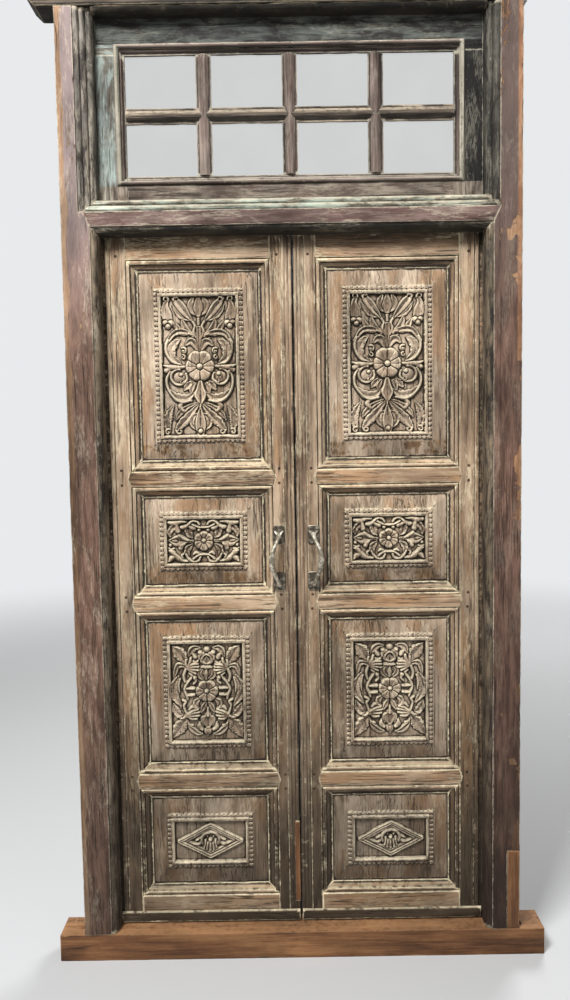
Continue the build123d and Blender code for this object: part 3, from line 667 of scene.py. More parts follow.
@dataclass(frozen=True)
class Timber:
    """Finish of old timber.

    light, middle and dark are the wood's own tones. limed is the pale residue on worn arrises and
    in patches, grime the dark tone of the soiling in hollows and of painted shade, and
    warm the colour of cleaner patches. The shares say how much there is of cracking, of rubbed
    arrises, flecks, soiling and painted shade in hollows, residue and smears.

    foot darkens the wood towards the sill: a painted falloff of the light from above, with the
    timber's own darkening. face is the depth of the member's front, behind which its sinkings turn
    darker by the share sinking, with soiling and painted shade, and lines are depths behind the
    face, from and to, at which painted shade and soiling lie along the quirks of the mouldings.
    facing_light_and_shade is how far faces that look up are painted pale, a painted highlight,
    and those that look down dark, a painted shade.
    """

    name: str
    light: Colour
    middle: Colour
    dark: Colour
    limed: Colour
    grime: Colour
    cracking: float = 0.5
    rubbed: float = 0.85
    flecks: float = 0.25
    soiled_and_shaded: float = 0.85
    residue: float = 0.3
    smears: float = 0.55
    warm: Colour | None = None
    foot: float = 0.0
    face: float | None = None
    sinking: float = 0.2
    facing_light_and_shade: float = 0.9
    lines: tuple[tuple[float, float], ...] = ()
    paint: Paint | None = None
    bands: tuple[Band, ...] = ()
    roughness: float = 0.78

    def material(self, along: Along, groups: dict[str, NodeTree]) -> Material:
        """Builds the material.

        Args:
            along: the way that the grain runs.
            groups: the shared shader groups by name.

        Returns:
            The material, named after the finish and its grain.
        """
        made, graph, shader = new_material(f"{self.name}_{along.name.lower()}")
        place = graph.place()
        apart = graph.node("ShaderNodeSeparateXYZ", Vector=place).outputs
        laid = graph.stretched(place, (1, 1, 1), along.turn)
        grain = graph.group(groups["grain"], Place=laid, Cracking=self.cracking)
        wear = graph.group(
            groups["wear"], Place=place, Edge=graph.attribute("edge"), Hollow=graph.attribute("hollow")
        )
        weather = graph.group(groups["weather"], Place=laid)
        colour = self.wood(graph, grain, weather)
        height = grain.outputs["Relief"]
        if self.paint:
            colour, height = self.painted(graph, groups, laid, apart, colour, height)
        for band in self.bands:
            colour = self.banded(graph, band, laid, apart, grain, colour)
        colour = self.aged(graph, place, apart, grain, wear, weather, colour)
        graph.feed(shader.inputs["Base Color"], colour)
        rough = graph.between(grain.outputs["Fibre"], 0.2, 0.8)
        spread = graph.times(graph.minus(rough, 0.5), 0.22)
        graph.feed(shader.inputs["Roughness"], graph.plus(spread, self.roughness))
        bump = graph.node("ShaderNodeBump", Strength=0.75, Distance=0.002, Height=height)
        graph.feed(shader.inputs["Normal"], bump.outputs[0])
        shader.inputs["Specular IOR Level"].default_value = 0.28
        return made

    def wood(self, graph: Graph, grain: Node, weather: Node) -> NodeSocket:
        """Bare wood: fibres between the dark and light tone, shifted by the broad figure, with
        warm patches on flat parts and dark smears along the grain."""
        fibre, figure = grain.outputs["Fibre"], grain.outputs["Figure"]
        tone = graph.plus(fibre, graph.minus(figure, 0.5))
        low = graph.mix(graph.between(tone, 0.3, 0.5), self.dark, self.middle)
        colour = graph.mix(graph.between(tone, 0.46, 0.66), low, self.light)
        if self.warm:
            worked = graph.plus(graph.attribute("edge"), graph.attribute("hollow"))
            patch = graph.times(weather.outputs["Clean"], graph.between(worked, 0.16, 0.02))
            colour = graph.mix(graph.times(patch, 0.75), colour, self.warm)
        smear = graph.times(weather.outputs["Smear"], self.smears)
        return graph.mix(smear, colour, tuple(value * 0.5 for value in self.dark))

    def painted(self, graph: Graph, groups: dict[str, NodeTree], laid: object, apart: object,
                colour: object, height: object) -> tuple[NodeSocket, NodeSocket]:
        """Lays the old paint over the wood, and its thickness over the wood's relief."""
        paint = self.paint
        flake = graph.group(groups["flake"], Place=laid, Cover=paint.cover)
        bite = graph.times(graph.between(graph.noise(laid, 5, 4, 0.6), 0.45, 0.68), paint.bites)
        out = graph.plus(graph.math("ABSOLUTE", apart[0]), bite)
        inside = graph.between(out, paint.bare_beyond + 0.0015, paint.bare_beyond - 0.0015)
        over = graph.times(flake.outputs["Paint"], inside)
        streak = graph.noise(graph.stretched(laid, (1, 1, 0.12)), 60, 5, 0.7, 0.4)
        tone = graph.mix(graph.between(streak, 0.36, 0.62), paint.first, paint.second)
        if paint.upper:
            above = graph.between(apart[2], 1.7, 2.3)
            tone = graph.mix(graph.times(above, 0.8), tone, paint.upper)
        coat = graph.plus(over, graph.times(flake.outputs["Lip"], inside))
        return graph.mix(over, colour, tone), graph.plus(height, graph.times(coat, 0.5))

    def banded(self, graph: Graph, band: Band, laid: object, apart: object, grain: Node,
               colour: object) -> NodeSocket:
        """Gives a stretch of the member its own streaked tones."""
        at = graph.math("ABSOLUTE", apart[band.axis]) if band.mirrored else apart[band.axis]
        here = graph.times(
            graph.between(at, band.low - band.soft / 2, band.low + band.soft / 2),
            graph.between(at, band.high + band.soft / 2, band.high - band.soft / 2),
        )
        if band.above is not None:
            raised = graph.between(apart[2], band.above, band.above + 0.002)
            here = graph.times(here, raised)
        if band.patchy:
            blotch = graph.between(graph.noise(laid, 26, 4, 0.6, 0.4), 0.44, 0.56)
            here = graph.times(here, blotch)
        patch = graph.noise(graph.stretched(laid, (1, 1, 0.3)), 34, 5, 0.7, 0.5)
        tone = graph.plus(graph.times(patch, 0.65),
                          graph.times(grain.outputs["Fibre"], 0.35))
        own = graph.mix(graph.between(tone, 0.42, 0.6), band.dark, band.light)
        return graph.mix(graph.times(here, band.strength), colour, own)

    def aged(self, graph: Graph, place: object, apart: object, grain: Node,
             wear: Node, weather: Node, colour: object) -> NodeSocket:
        """Adds, in this order: cracks, the pale residue of liming, flecks, the darker foot (a painted
        falloff of the light from above, with the timber's own darkening), darker sinkings (soiling and
        painted shade), painted shade and soiling along the quirks of the mouldings, painted shade on
        faces that look down, soiling and painted shade in hollows, rubbed arrises, a painted highlight
        on faces that look up, patchy like dusting, and the broad stains and painted light and shade by
        the slope of faces."""
        deep = tuple(value * 0.22 for value in self.dark)
        colour = graph.mix(graph.times(grain.outputs["Crack"], 0.8), colour, deep)
        pale = graph.times(weather.outputs["Residue"], self.residue)
        colour = graph.mix(pale, colour, self.limed)
        fleck = graph.times(wear.outputs["Fleck"], self.flecks)
        colour = graph.mix(fleck, colour, self.limed)
        # Darker towards the sill: a painted falloff of the light from above, with the timber's own darkening.
        if self.foot:
            wander = graph.times(graph.noise(place, 5, 3), 0.9)
            low = graph.between(graph.plus(apart[2], wander), 1.75, 0.45)
            colour = graph.mix(graph.times(low, self.foot), colour, self.grime)
        if self.face is not None:
            # Darker with depth behind the face: soiling in the sinkings and painted shade of the recess.
            sunk = graph.between(apart[1], self.face + 0.0018, self.face + 0.009)
            patchy = graph.between(graph.noise(place, 48, 4, 0.65), 0.25, 0.6)
            sunk = graph.times(sunk, graph.times(patchy, self.sinking))
            colour = graph.mix(sunk, colour, self.grime)
        # Painted shade along the quirks of the mouldings, with soiling in them.
        for low, high in self.lines:
            wander = graph.times(graph.minus(graph.noise(place, 90, 4), 0.5), 0.002)
            depth = graph.plus(graph.minus(apart[1], self.face), wander)
            line = graph.times(
                graph.between(depth, low - 0.0003, low + 0.0003),
                graph.between(depth, high + 0.0003, high - 0.0003),
            )
            colour = graph.mix(graph.times(line, 0.85), colour, self.grime)
        upward = graph.attribute("upward")
        patchy = graph.between(graph.noise(place, 60, 4, 0.65), 0.3, 0.55)
        # Painted shade on faces that look down.
        underside_shade = graph.times(graph.between(upward, -0.12, -0.6), self.facing_light_and_shade)
        colour = graph.mix(graph.times(underside_shade, 0.7), colour, self.grime)
        # Soiling and painted shade in the hollows.
        hollow_grime_and_shade = graph.times(wear.outputs["Grime"], self.soiled_and_shaded)
        colour = graph.mix(hollow_grime_and_shade, colour, self.grime)
        rub_and_highlight = graph.times(wear.outputs["Rubbed"], self.rubbed)
        colour = graph.mix(rub_and_highlight, colour, self.limed)
        # Painted highlight on faces that look up, patchy like dusting.
        top_light_and_dust = graph.times(graph.between(upward, 0.1, 0.6), self.facing_light_and_shade)
        top_light_and_dust = graph.times(graph.times(top_light_and_dust, patchy), 0.6)
        colour = graph.mix(top_light_and_dust, colour, self.limed)
        stain = graph.plus(graph.times(weather.outputs["Stain"], 0.5), 0.45)
        # Painted light and shade by slope: faces that look up lighter, those that look down darker.
        slope = graph.times(graph.between(upward, -0.16, 0.16), 0.34)
        return graph.mix(1.0, colour, graph.plus(stain, slope), "MULTIPLY")


@dataclass(frozen=True)
class Metal:
    """Finish of cast or forged metal: a bright worn tone and a dark one in clouds. upper brings
    the bright one out on faces that look up, as a painted highlight."""

    name: str
    bright: Colour
    dull: Colour
    metallic: float
    roughness: float
    scale: float
    upper: float = 0.3

    def material(self) -> Material:
        """Builds the material: two noises set the tone and the pitting."""
        made, graph, shader = new_material(self.name)
        place = graph.place()
        cloudy = graph.noise(place, self.scale, 4, 0.6)
        pits = graph.noise(place, self.scale * 9, 3, 0.6)
        # Painted highlight: the bright tone on faces that look up.
        upper = graph.times(graph.between(graph.attribute("upward"), 0.15, 0.7), self.upper)
        rub_and_highlight = graph.plus(cloudy, upper)
        share = graph.between(rub_and_highlight, 0.44, 0.78)
        graph.feed(shader.inputs["Base Color"], graph.mix(share, self.dull, self.bright))
        shader.inputs["Metallic"].default_value = self.metallic
        spread = graph.times(graph.minus(0.6, share), 0.3)
        graph.feed(shader.inputs["Roughness"], graph.plus(spread, self.roughness))
        bump = graph.node("ShaderNodeBump", Strength=0.4, Distance=0.0008, Height=pits)
        graph.feed(shader.inputs["Normal"], bump.outputs[0])
        return made


@dataclass(frozen=True)
class Glass:
    """Finish of the panes: clear glass with a faint uneven haze."""

    name: str = "clear_glass"
    roughness: float = 0.03
    haze: float = 0.05
    tints: tuple[Colour, Colour] = (srgb(222, 222, 220), srgb(233, 233, 230))

    def material(self) -> Material:
        """Builds the material. The haze is in the roughness and in a slow ripple."""
        made, graph, shader = new_material(self.name)
        place = graph.place()
        shader.inputs["Transmission Weight"].default_value = 1.0
        shader.inputs["IOR"].default_value = 1.45
        haze = graph.times(graph.between(graph.noise(place, 14, 4), 0.45, 0.75), self.haze)
        graph.feed(shader.inputs["Roughness"], graph.plus(haze, self.roughness))
        tint = graph.mix(graph.noise(place, 6, 2), *self.tints)
        graph.feed(shader.inputs["Base Color"], tint)
        bump = graph.node("ShaderNodeBump", Strength=0.05, Distance=0.002, Height=graph.noise(place, 8, 1))
        graph.feed(shader.inputs["Normal"], bump.outputs[0])
        return made


# Carving

class Section(Enum):
    """Section across a carved form. t runs from 0 on its middle line to 1 at its edge."""

    ROUND = "half round"
    LEAF = "cupped blade with a vein"
    BAND = "flat band with a groove"

    def height(self, t: Array, along: Array) -> Array:
        """Height of the section as a share of the form's rise.

        Args:
            t: distance from the middle line as a share of the half width.
            along: share of the form's length, from 0 to 1.

        Returns:
            Shares of the rise.
        """
        if self is Section.ROUND:
            return np.sqrt(np.clip(1 - t ** 2.4, 0, 1))
        if self is Section.BAND:
            return np.sqrt(np.clip(1 - t ** 6, 0, 1)) * (1 - 0.3 * np.exp(-((t / 0.3) ** 2)))
        edge = np.sqrt(np.clip(1 - t ** 6, 0, 1))
        vein = 0.12 * np.exp(-((t / 0.2) ** 2)) * (1 - 0.5 * along)
        return edge * (0.42 + 0.58 * t ** 1.7) - vein


@dataclass(frozen=True)
class Stroke:
    """One carved form that follows a line. Lengths in millimetres from the block's middle, on its
    right half. widths and rises are spread evenly along the line. A cupped blade is twisted: tilt
    lifts its left edge, as seen along the line, and lowers its right one by that share."""

    line: tuple[tuple[float, float], ...]
    widths: tuple[float, ...]
    rises: tuple[float, ...] = (8.0, 8.0)
    section: Section = Section.LEAF
    lobes: int = 0
    over: bool = False
    tilt: float = 0.24


@dataclass(frozen=True)
class Boss:
    """A round button, or an eye bored into the wood. Lengths in millimetres."""

    x: float
    z: float
    radius: float
    rise: float = 9.0
    bored: bool = False


@dataclass(frozen=True)
class Flower:
    """A flower on the centre line: petals side by side round a button. Lengths in millimetres.
    hood lengthens the petals that point up, and half_step puts a groove upright, not a petal."""

    z: float
    radius: float
    petals: int
    button: float
    hood: float = 0.0
    rise: float = 9.2
    half_step: bool = True


def curl(x: float, z: float, radius: float, start: float, turn: float, width: float) -> Stroke:
    """Volute: its line runs on a circle whose radius falls to a third.

    Args:
        x, z: the volute's middle.
        radius: radius at its start.
        start: angle of its start in degrees, anticlockwise from the right.
        turn: angle that it turns through, in degrees.
        width: width at its start.

    Returns:
        A rounded stroke.
    """
    angle = np.radians(start + np.linspace(0, turn, 9))
    reach = radius * np.linspace(1, 0.34, 9)
    line = tuple(zip(x + reach * np.cos(angle), z + reach * np.sin(angle)))
    return Stroke(line, (width, width * 0.85, width * 0.7), (7.5, 8.5), Section.ROUND)


def stem(line: tuple[tuple[float, float], ...], widths: tuple[float, ...],
         rises: tuple[float, ...], over: bool = False) -> Stroke:
    """Rounded stroke, for stems, stamens and small leaves without a vein.

    Args:
        line, widths, rises, over: as in Stroke.

    Returns:
        The stroke.
    """
    return Stroke(line, widths, rises, Section.ROUND, over=over)


class Carving:
    """Height field of one block's ground, cut form by form. fullness swells every stroke, steps
    is the number of short lines that a stroke is measured from, and sway_cell and sway are the
    cell and the size of the bend that is given to the grid, in millimetres."""

    fullness = 1.16
    steps = 26
    sway_cell = 46
    sway = 3.4

    def __init__(self, x: Array, z: Array, seed: int) -> None:
        """Takes the grid and bends it a little, as no carver cuts the same flower twice.

        Args:
            x, z: grid of places on the ground, in millimetres from its middle.
            seed: picks the way that the grid is bent.
        """
        flat = np.stack([x.ravel(), z.ravel(), np.full(x.size, seed * 31.7)], axis=1)
        bends = [cloud(flat, self.sway_cell, seed + i) - 0.5 for i in (0, 1)]
        self.x = np.abs(x + bends[0].reshape(x.shape) * self.sway)
        self.z = z + bends[1].reshape(x.shape) * self.sway
        self.height = np.zeros(x.shape)

    def cut(self, form: Stroke | Boss | Flower) -> None:
        """Cuts one form: a stroke, a boss or a flower."""
        if isinstance(form, Boss):
            self.cut_boss(form)
        elif isinstance(form, Flower):
            self.cut_flower(form)
        else:
            self.cut_stroke(form)

    def cut_boss(self, boss: Boss) -> None:
        """Dome √(1-r²) with a groove round it, or a bored eye with a sharp rim."""
        reach = np.hypot(self.x - boss.x, self.z - boss.z) / boss.radius
        if boss.bored:
            self.height -= np.clip(self.height, 0, None) * (1 - smooth(0.75, 1.05, reach))
            return
        moat = (reach >= 1) & (reach < 1.3)
        self.height = np.where(moat, self.height * (0.35 + 0.65 * (reach - 1) / 0.3), self.height)
        dome = boss.rise * np.sqrt(np.clip(1 - reach ** 2, 0, 1))
        self.height = np.where(reach < 1, np.maximum(dome, self.height * 0.45), self.height)

    def cut_flower(self, flower: Flower) -> None:
        """Petals whose outline is a ring of arcs. Each is dished, rises to its rim, and is parted
        from the next by a groove along the ray between them.

        Args:
            flower: the flower.
        """
        away_x, away_z = self.x, self.z - flower.z
        reach = np.hypot(away_x, away_z)
        turn = np.arctan2(away_x, away_z) * flower.petals / (2 * np.pi)
        turn = turn - 0.5 if flower.half_step else turn
        share = np.abs(turn - np.round(turn)) * 2
        lift = np.clip(away_z / np.maximum(reach, 1e-6), 0, 1) ** 2
        rim = flower.radius * (1 - 0.13 * share ** 3) * (1 + flower.hood * lift)
        t = reach / rim
        groove = np.exp(-(((1 - share) * reach * np.pi / flower.petals / 1.3) ** 2))
        fold = 0.16 * np.exp(-((share * reach * np.pi / flower.petals / 1.5) ** 2))
        height = flower.rise * (0.42 + 0.58 * t ** 1.4) * (1 - 0.5 * groove - fold)
        height *= np.sqrt(np.clip(1 - t ** 9, 0, 1))
        moat = smooth(3.0, 0.0, reach - rim)
        under = self.height * (1 - 0.85 * moat)
        self.height = np.where(t < 1, height, under)
        self.cut_boss(Boss(0, flower.z, flower.button, flower.rise + 1))

    def cut_stroke(self, stroke: Stroke) -> None:
        """Finds each place's nearest point on the line and its share of the half width there.

        Lobes pinch the half width at even steps and cut slanting grooves from the edge in. A form
        that lies over others replaces their height and sinks a moat round itself.

        Args:
            stroke: the form.
        """
        steps = self.steps
        line = smooth_line(np.array(stroke.line), steps + 1)
        widths = smooth_line(np.array(stroke.widths, float), steps + 1)[:, 0] / 2
        rises = smooth_line(np.array(stroke.rises, float), steps + 1)[:, 0]
        margin = widths.max() + 3
        near = (self.x > line[:, 0].min() - margin) & (self.x < line[:, 0].max() + margin)
        near &= (self.z > line[:, 1].min() - margin) & (self.z < line[:, 1].max() + margin)
        place = np.stack([self.x[near], self.z[near]], axis=1)
        run = np.diff(line, axis=0)
        back = place[:, None] - line[None, :-1]
        share = np.clip(np.sum(back * run, axis=2) / np.maximum(np.sum(run ** 2, axis=1), 1e-9), 0, 1)
        gap = np.linalg.norm(back - share[:, :, None] * run, axis=2)
        best = np.argmin(gap, axis=1)
        rows = np.arange(len(best))
        away = back[rows, best]
        side = np.sign(run[best, 0] * away[:, 1] - run[best, 1] * away[:, 0])
        gap, along = gap[rows, best], (best + share[rows, best]) / steps
        ticks = np.linspace(0, 1, steps + 1)
        half = np.maximum(np.interp(along, ticks, widths) * self.fullness, 0.35)
        if stroke.lobes:
            pinch = np.abs(np.sin(np.pi * stroke.lobes * along))
            half = half * (0.74 + 0.26 * pinch ** 0.6)
        t = gap / half
        height = np.interp(along, ticks, rises) * stroke.section.height(np.minimum(t, 1), along)
        if stroke.section is Section.LEAF:
            height *= 1 + stroke.tilt * side * np.minimum(t, 1)
        if stroke.lobes:
            slant = np.abs(np.sin(np.pi * stroke.lobes * (along + 0.1 * np.minimum(t, 1))))
            height *= 1 - 0.34 * np.exp(-((slant / 0.3) ** 2)) * smooth(0.15, 0.8, t)
        now = self.height[near]
        if stroke.over:
            moat = smooth(2.2, 0.0, gap - half)
            now = np.where(t >= 1, now * (1 - 0.75 * moat), np.maximum(height, now * 0.3))
        else:
            now = np.where(t < 1, np.maximum(height, now), now)
        self.height[near] = now


TALL_FORMS = (
    stem(((0, 112), (0, 130), (0, 147)), (8, 7, 8), (6, 7)),
    stem(((7, 108), (14, 122), (24, 136)), (7, 6, 7), (6, 7)),
    Stroke(((5, 146), (17, 158), (20, 176), (13, 195)), (8, 18, 17, 3), (7, 8)),
    Stroke(((0, 146), (0, 166), (0, 200)), (14, 25, 3), (8, 9.4), over=True),
    Stroke(((24, 131), (44, 138), (60, 150), (74, 174)), (5, 13, 12, 2), (5.5, 7), lobes=3),
    Stroke(((21, 132), (38, 153), (54, 174), (69, 192)), (8, 20, 22, 9), (7, 8.6, 8.8), over=True),
    curl(61, 189, 8.5, -30, 250, 5),
    Boss(60, 188, 3.6, bored=True),
    Stroke(((86, 190), (93, 172), (92, 148), (86, 126)), (7, 15, 27, 22), (6, 8, 8), over=True),
    Boss(81, 122, 10, 7.6),
    Boss(96, 124, 8.5, 7.2),
    Boss(88, 114, 8, 8),
    curl(92, 190, 9, 200, -280, 5),
    Boss(92, 190, 3.6, bored=True),
    Stroke(((22, 92), (37, 104), (44, 120), (47, 136)), (9, 17, 13, 2), (6, 8, 7)),
    Stroke(((26, 90), (50, 97), (63, 112), (70, 130)), (9, 18, 14, 2), (6, 8, 7), lobes=2),
    Stroke(((12, 84), (32, 94), (58, 97), (76, 89), (93, 64)), (7, 12, 16, 13, 9), (7, 9, 8)),
    stem(((88, 74), (94, 55), (91, 34), (77, 13), (54, 3)), (8, 8, 8, 7), (7.5, 7.5)),
    stem(((28, 92), (16, 86), (22, 77), (30, 80)), (8, 7, 5), (7, 8)),
    Stroke(((55, 8), (75, 24), (80, 46), (68, 66), (53, 76)), (7, 20, 26, 20, 3), (5.5, 7.5, 6), lobes=4),
    curl(45, 43, 9, 60, 320, 5.5),
    Boss(45, 42, 4, 8),
    curl(47, 25, 7, 90, 300, 4.5),
    Boss(64, 46, 4, bored=True),
    Stroke(((4, 46), (15, 66), (27, 69), (38, 60)), (10, 20, 17, 6), (6, 8, 7), over=True),
    Stroke(((0, 44), (0, 66), (0, 84), (0, 108)), (3, 9, 15, 13), (6.5, 8.6, 9), over=True),
    stem(((8, 80), (14, 97), (10, 113)), (4, 8, 5), (7, 8)),
    stem(((44, -1), (66, -3), (84, -3), (102, 3)), (6, 13, 13, 4), (6, 8, 8), over=True),
    stem(((78, -5), (89, -9), (95, -12)), (7, 13, 13), (7, 8)),
    stem(((58, -9), (77, -17), (81, -34), (70, -49), (52, -50), (38, -38), (40, -22)),
         (7.5, 8, 8, 8, 7), (7.5, 7.5)),
    Boss(59, -31, 17, 4.6),
    Boss(54, -24, 6.2, 8.6),
    curl(52, -43, 6, 180, 240, 4),
    stem(((84, -15), (94, -36), (92, -62), (77, -86), (53, -101), (26, -96)), (7, 7, 7, 7), (7, 7.5)),
    Stroke(((88, -66), (68, -86), (40, -90), (16, -74)), (5, 22, 22, 5), (5, 7, 6), lobes=4),
    Stroke(((28, -46), (36, -56), (44, -66)), (10, 17, 8), (7, 8), lobes=2),
    Stroke(((18, -50), (24, -62), (26, -74)), (8, 13, 6), (7, 8)),
    stem(((50, -102), (58, -114), (50, -126)), (8, 13, 9), (6.5, 8)),
    Stroke(((0, -40), (0, -62), (0, -82), (0, -110)), (8, 19, 31, 3), (8, 9.2, 8.5), over=True),
    Stroke(((10, -103), (38, -116), (60, -134), (73, -154)), (4, 13, 15, 3), (6, 8, 7), lobes=3),
    Stroke(((6, -108), (30, -137), (52, -161), (70, -182)), (6, 21, 25, 10), (7, 8.4, 8), lobes=4, over=True),
    curl(61, -186, 9, 10, -250, 6),
    stem(((0, -110), (0, -126), (0, -142)), (5, 7, 10), (6, 7)),
    Stroke(((7, -136), (22, -146), (25, -164), (14, -182)), (6, 17, 16, 5), (6.5, 8, 7), lobes=3),
    Stroke(((0, -124), (0, -150), (0, -172), (0, -198)), (8, 24, 28, 14), (7, 8.6, 9), over=True),
    Boss(0, -187, 8.5, 8.5),
    Stroke(((78, -110), (90, -132), (97, -160), (90, -186)), (4, 18, 24, 10), (6, 8, 7), lobes=5),
    Stroke(((101, -118), (103, -140), (102, -160)), (3, 7, 3), (6, 7)),
    curl(93, -188, 9, 110, -270, 6),
    Flower(-2, 41, 6, 9.5, 0.2),
)

UPPER_WIDE_FORMS = (
    Stroke(((32, 0), (46, 1), (62, 1), (80, 0), (101, 2)), (6, 8, 20, 28, 3), (7, 8.5, 7), over=True),
    stem(((80, 0), (90, 1)), (10, 6), (3, 4), over=True),
    stem(((45, 3), (58, 8), (71, 17)), (6, 10, 8), (7, 8.5)),
    stem(((56, -7), (63, -13), (67, -20)), (7, 11, 12), (7, 8.5)),
    stem(((49, 57), (66, 57), (82, 52), (99, 55)), (4, 9, 15, 9), (6.5, 8.5)),
    Stroke(((78, 50), (90, 37), (98, 26), (97, 15)), (9, 17, 14, 7), (7, 8.5, 8), lobes=2),
    stem(((77, 48), (76, 38), (74, 29)), (9, 12, 14), (7.5, 8.5)),
    stem(((-3, 40), (12, 41), (24, 45), (36, 52)), (5.5, 5.5, 6), (8, 8.5)),
    Stroke(((43, 45), (43, 30), (40, 20), (33, 11)), (10, 21, 18, 5), (7, 8.5, 7), lobes=2),
    stem(((12, 49), (18, 57), (31, 59), (43, 49)), (6, 6.5, 8), (7.5, 8.5), over=True),
    stem(((44, 46), (54, 41), (63, 41)), (9, 12, 9), (8, 8.5)),
    stem(((42, 44), (35, 39), (27, 38)), (8, 10, 11), (7.5, 8)),
    Boss(13, 32.5, 4.8, 8),
    stem(((-3, -38), (12, -39), (22, -44), (31, -52)), (5.5, 5.5, 6), (8, 8.5)),
    Stroke(((34, -10), (46, -22), (49, -34), (44, -47)), (8, 18, 15, 6), (7, 8.5, 8), lobes=2),
    stem(((11, -46), (17, -57), (31, -60), (44, -51), (52, -37)), (6, 7, 8, 5), (7.5, 8.5), over=True),
    stem(((16, -35), (24, -33), (31, -38)), (5, 8, 4), (6, 7)),
    stem(((58, -36), (64, -42), (61, -49)), (4, 6, 4), (6, 7)),
    stem(((47, -58), (63, -56), (76, -49), (88, -34)), (5, 10, 14, 8), (7, 8.5)),
    stem(((82, -42), (92, -31), (100, -27)), (10, 13, 5), (8, 8.5)),
    stem(((82, -44), (94, -50), (101, -58)), (9, 13, 6), (7.5, 8)),
    Boss(97, -12, 4.5, 7),
    stem(((86, -22), (96, -24), (102, -20)), (4, 5, 3), (6, 6)),
    Flower(0, 28.5, 6, 7.2, half_step=False),
)

SQUARE_FORMS = (
    Stroke(((60, 86), (72, 104), (84, 120), (99, 137)), (8, 30, 33, 3), (6.5, 8.6, 8), lobes=4, over=True),
    Stroke(((21, 131), (34, 131), (45, 122), (53, 108)), (7, 15, 17, 5), (6.5, 8.6, 8), over=True),
    stem(((40, 114), (36, 106), (33, 103)), (8, 12, 10), (7, 8)),
    Boss(0, 126, 10, 7.5),
    Boss(19, 117, 7.5, 7.5),
    stem(((8, 116), (20, 108), (22, 98)), (7, 9, 5), (6.5, 7.5)),
    stem(((3, 84), (15, 92), (10, 107), (0, 113)), (6, 9, 7, 5), (7, 8)),
    Stroke(((0, 84), (0, 94), (0, 103)), (18, 17, 5), (7, 9)),
    stem(((0, 74), (10, 74), (14, 73)), (9, 9, 8), (8, 8)),
    Stroke(((0, 34), (0, 50), (0, 68)), (18, 46, 30), (6, 7.5)),
    Stroke(((6, 38), (19, 48), (20, 60), (12, 70)), (6, 13, 11, 4), (7, 9), over=True),
    stem(((0, 40), (0, 54), (0, 66)), (6, 14, 5), (8, 9)),
    stem(((58, 72), (44, 82), (26, 84)), (7, 8, 6), (8, 8.6)),
    stem(((56, 72), (42, 75), (24, 76)), (7, 8, 6), (8, 8.6)),
    stem(((56, 71), (42, 68), (25, 66)), (7, 8, 6), (8, 8.6)),
    stem(((57, 70), (44, 62), (33, 57)), (7, 8, 6), (8, 8.6)),
    stem(((57, 76), (50, 88), (47, 101)), (7, 9, 7), (8, 8.6)),
    stem(((60, 76), (62, 86), (61, 96)), (7, 8, 6), (8, 8.6)),
    stem(((40, 90), (36, 84), (26, 92)), (6, 10, 6), (5, 6.5)),
    Stroke(((60, 74), (75, 80), (88, 74), (97, 40)), (7, 13, 15, 3), (7.5, 8.6, 7), lobes=3),
    Boss(74, 70, 4, bored=True),
    stem(((62, 70), (68, 52), (66, 36), (58, 22)), (8, 8, 7, 6), (8, 8)),
    stem(((52, 58), (44, 50), (52, 38), (60, 26), (66, 8), (60, -8), (57, -20)), (6, 7, 7, 8, 6),
         (6.5, 8, 7.5), over=True),
    Boss(36, 44, 7, 8),
    stem(((36, 44), (33, 34), (40, 26)), (8, 7, 5), (7, 7)),
    stem(((59, 12), (48, 12), (38, 12)), (6, 8, 9), (7.5, 8)),
    stem(((60, -8), (50, -8), (38, -7)), (6, 8, 8), (7.5, 8)),
    Stroke(((84, 48), (97, 22), (97, -8), (76, -40)), (8, 20, 23, 5), (6.5, 8.6, 8), lobes=5, over=True),
    stem(((79, 42), (84, 20), (82, 0)), (5, 7, 4), (6, 7)),
    stem(((72, -22), (63, -28), (68, -38), (66, -50), (60, -66)), (6, 7, 6, 7), (7.5, 8)),
    stem(((58, -66), (44, -56), (27, -50)), (7, 8, 6), (8, 8.6)),
    stem(((56, -68), (42, -62), (25, -59)), (7, 8, 6), (8, 8.6)),
    stem(((56, -70), (42, -71), (25, -69)), (7, 8, 6), (8, 8.6)),
    stem(((57, -72), (46, -79), (32, -79)), (7, 9, 6), (8, 8.6)),
    stem(((54, -52), (44, -44), (30, -48)), (5, 10, 5), (6, 7)),
    stem(((62, -68), (72, -76), (82, -74)), (7, 8, 7), (7.5, 8)),
    Stroke(((99, -34), (93, -52), (84, -64), (74, -68)), (5, 20, 20, 6), (6.5, 8.4, 7), lobes=2, over=True),
    stem(((61, -70), (62, -84), (54, -98), (44, -100)), (7, 7, 6), (7.5, 7)),
    Stroke(((62, -80), (76, -96), (88, -114), (103, -138)), (8, 34, 32, 3),
           (6.5, 8.6, 8), lobes=4, over=True),
    Stroke(((17, -127), (34, -122), (48, -110), (57, -100)), (4, 14, 15, 5), (6.5, 8.6, 8), over=True),
    stem(((24, -92), (24, -104), (16, -112)), (6, 14, 8), (7, 8)),
    Boss(0, -117, 12, 8),
    Stroke(((0, -108), (0, -117), (0, -128)), (10, 17, 4), (8, 9)),
    Stroke(((0, -70), (0, -84), (0, -102)), (16, 34, 12), (6.5, 7.5)),
    Stroke(((4, -72), (15, -80), (14, -96)), (5, 11, 6), (7, 8.4)),
    stem(((0, -50), (0, -62), (0, -70)), (5, 8, 10), (7, 8)),
    Stroke(((6, -34), (12, -46), (19, -58)), (8, 14, 6), (6.5, 8.4)),
    Stroke(((24, -22), (34, -32), (30, -44)), (10, 17, 9), (6.5, 8.4), lobes=2),
    Flower(3, 33, 6, 7.5, 0.03),
)

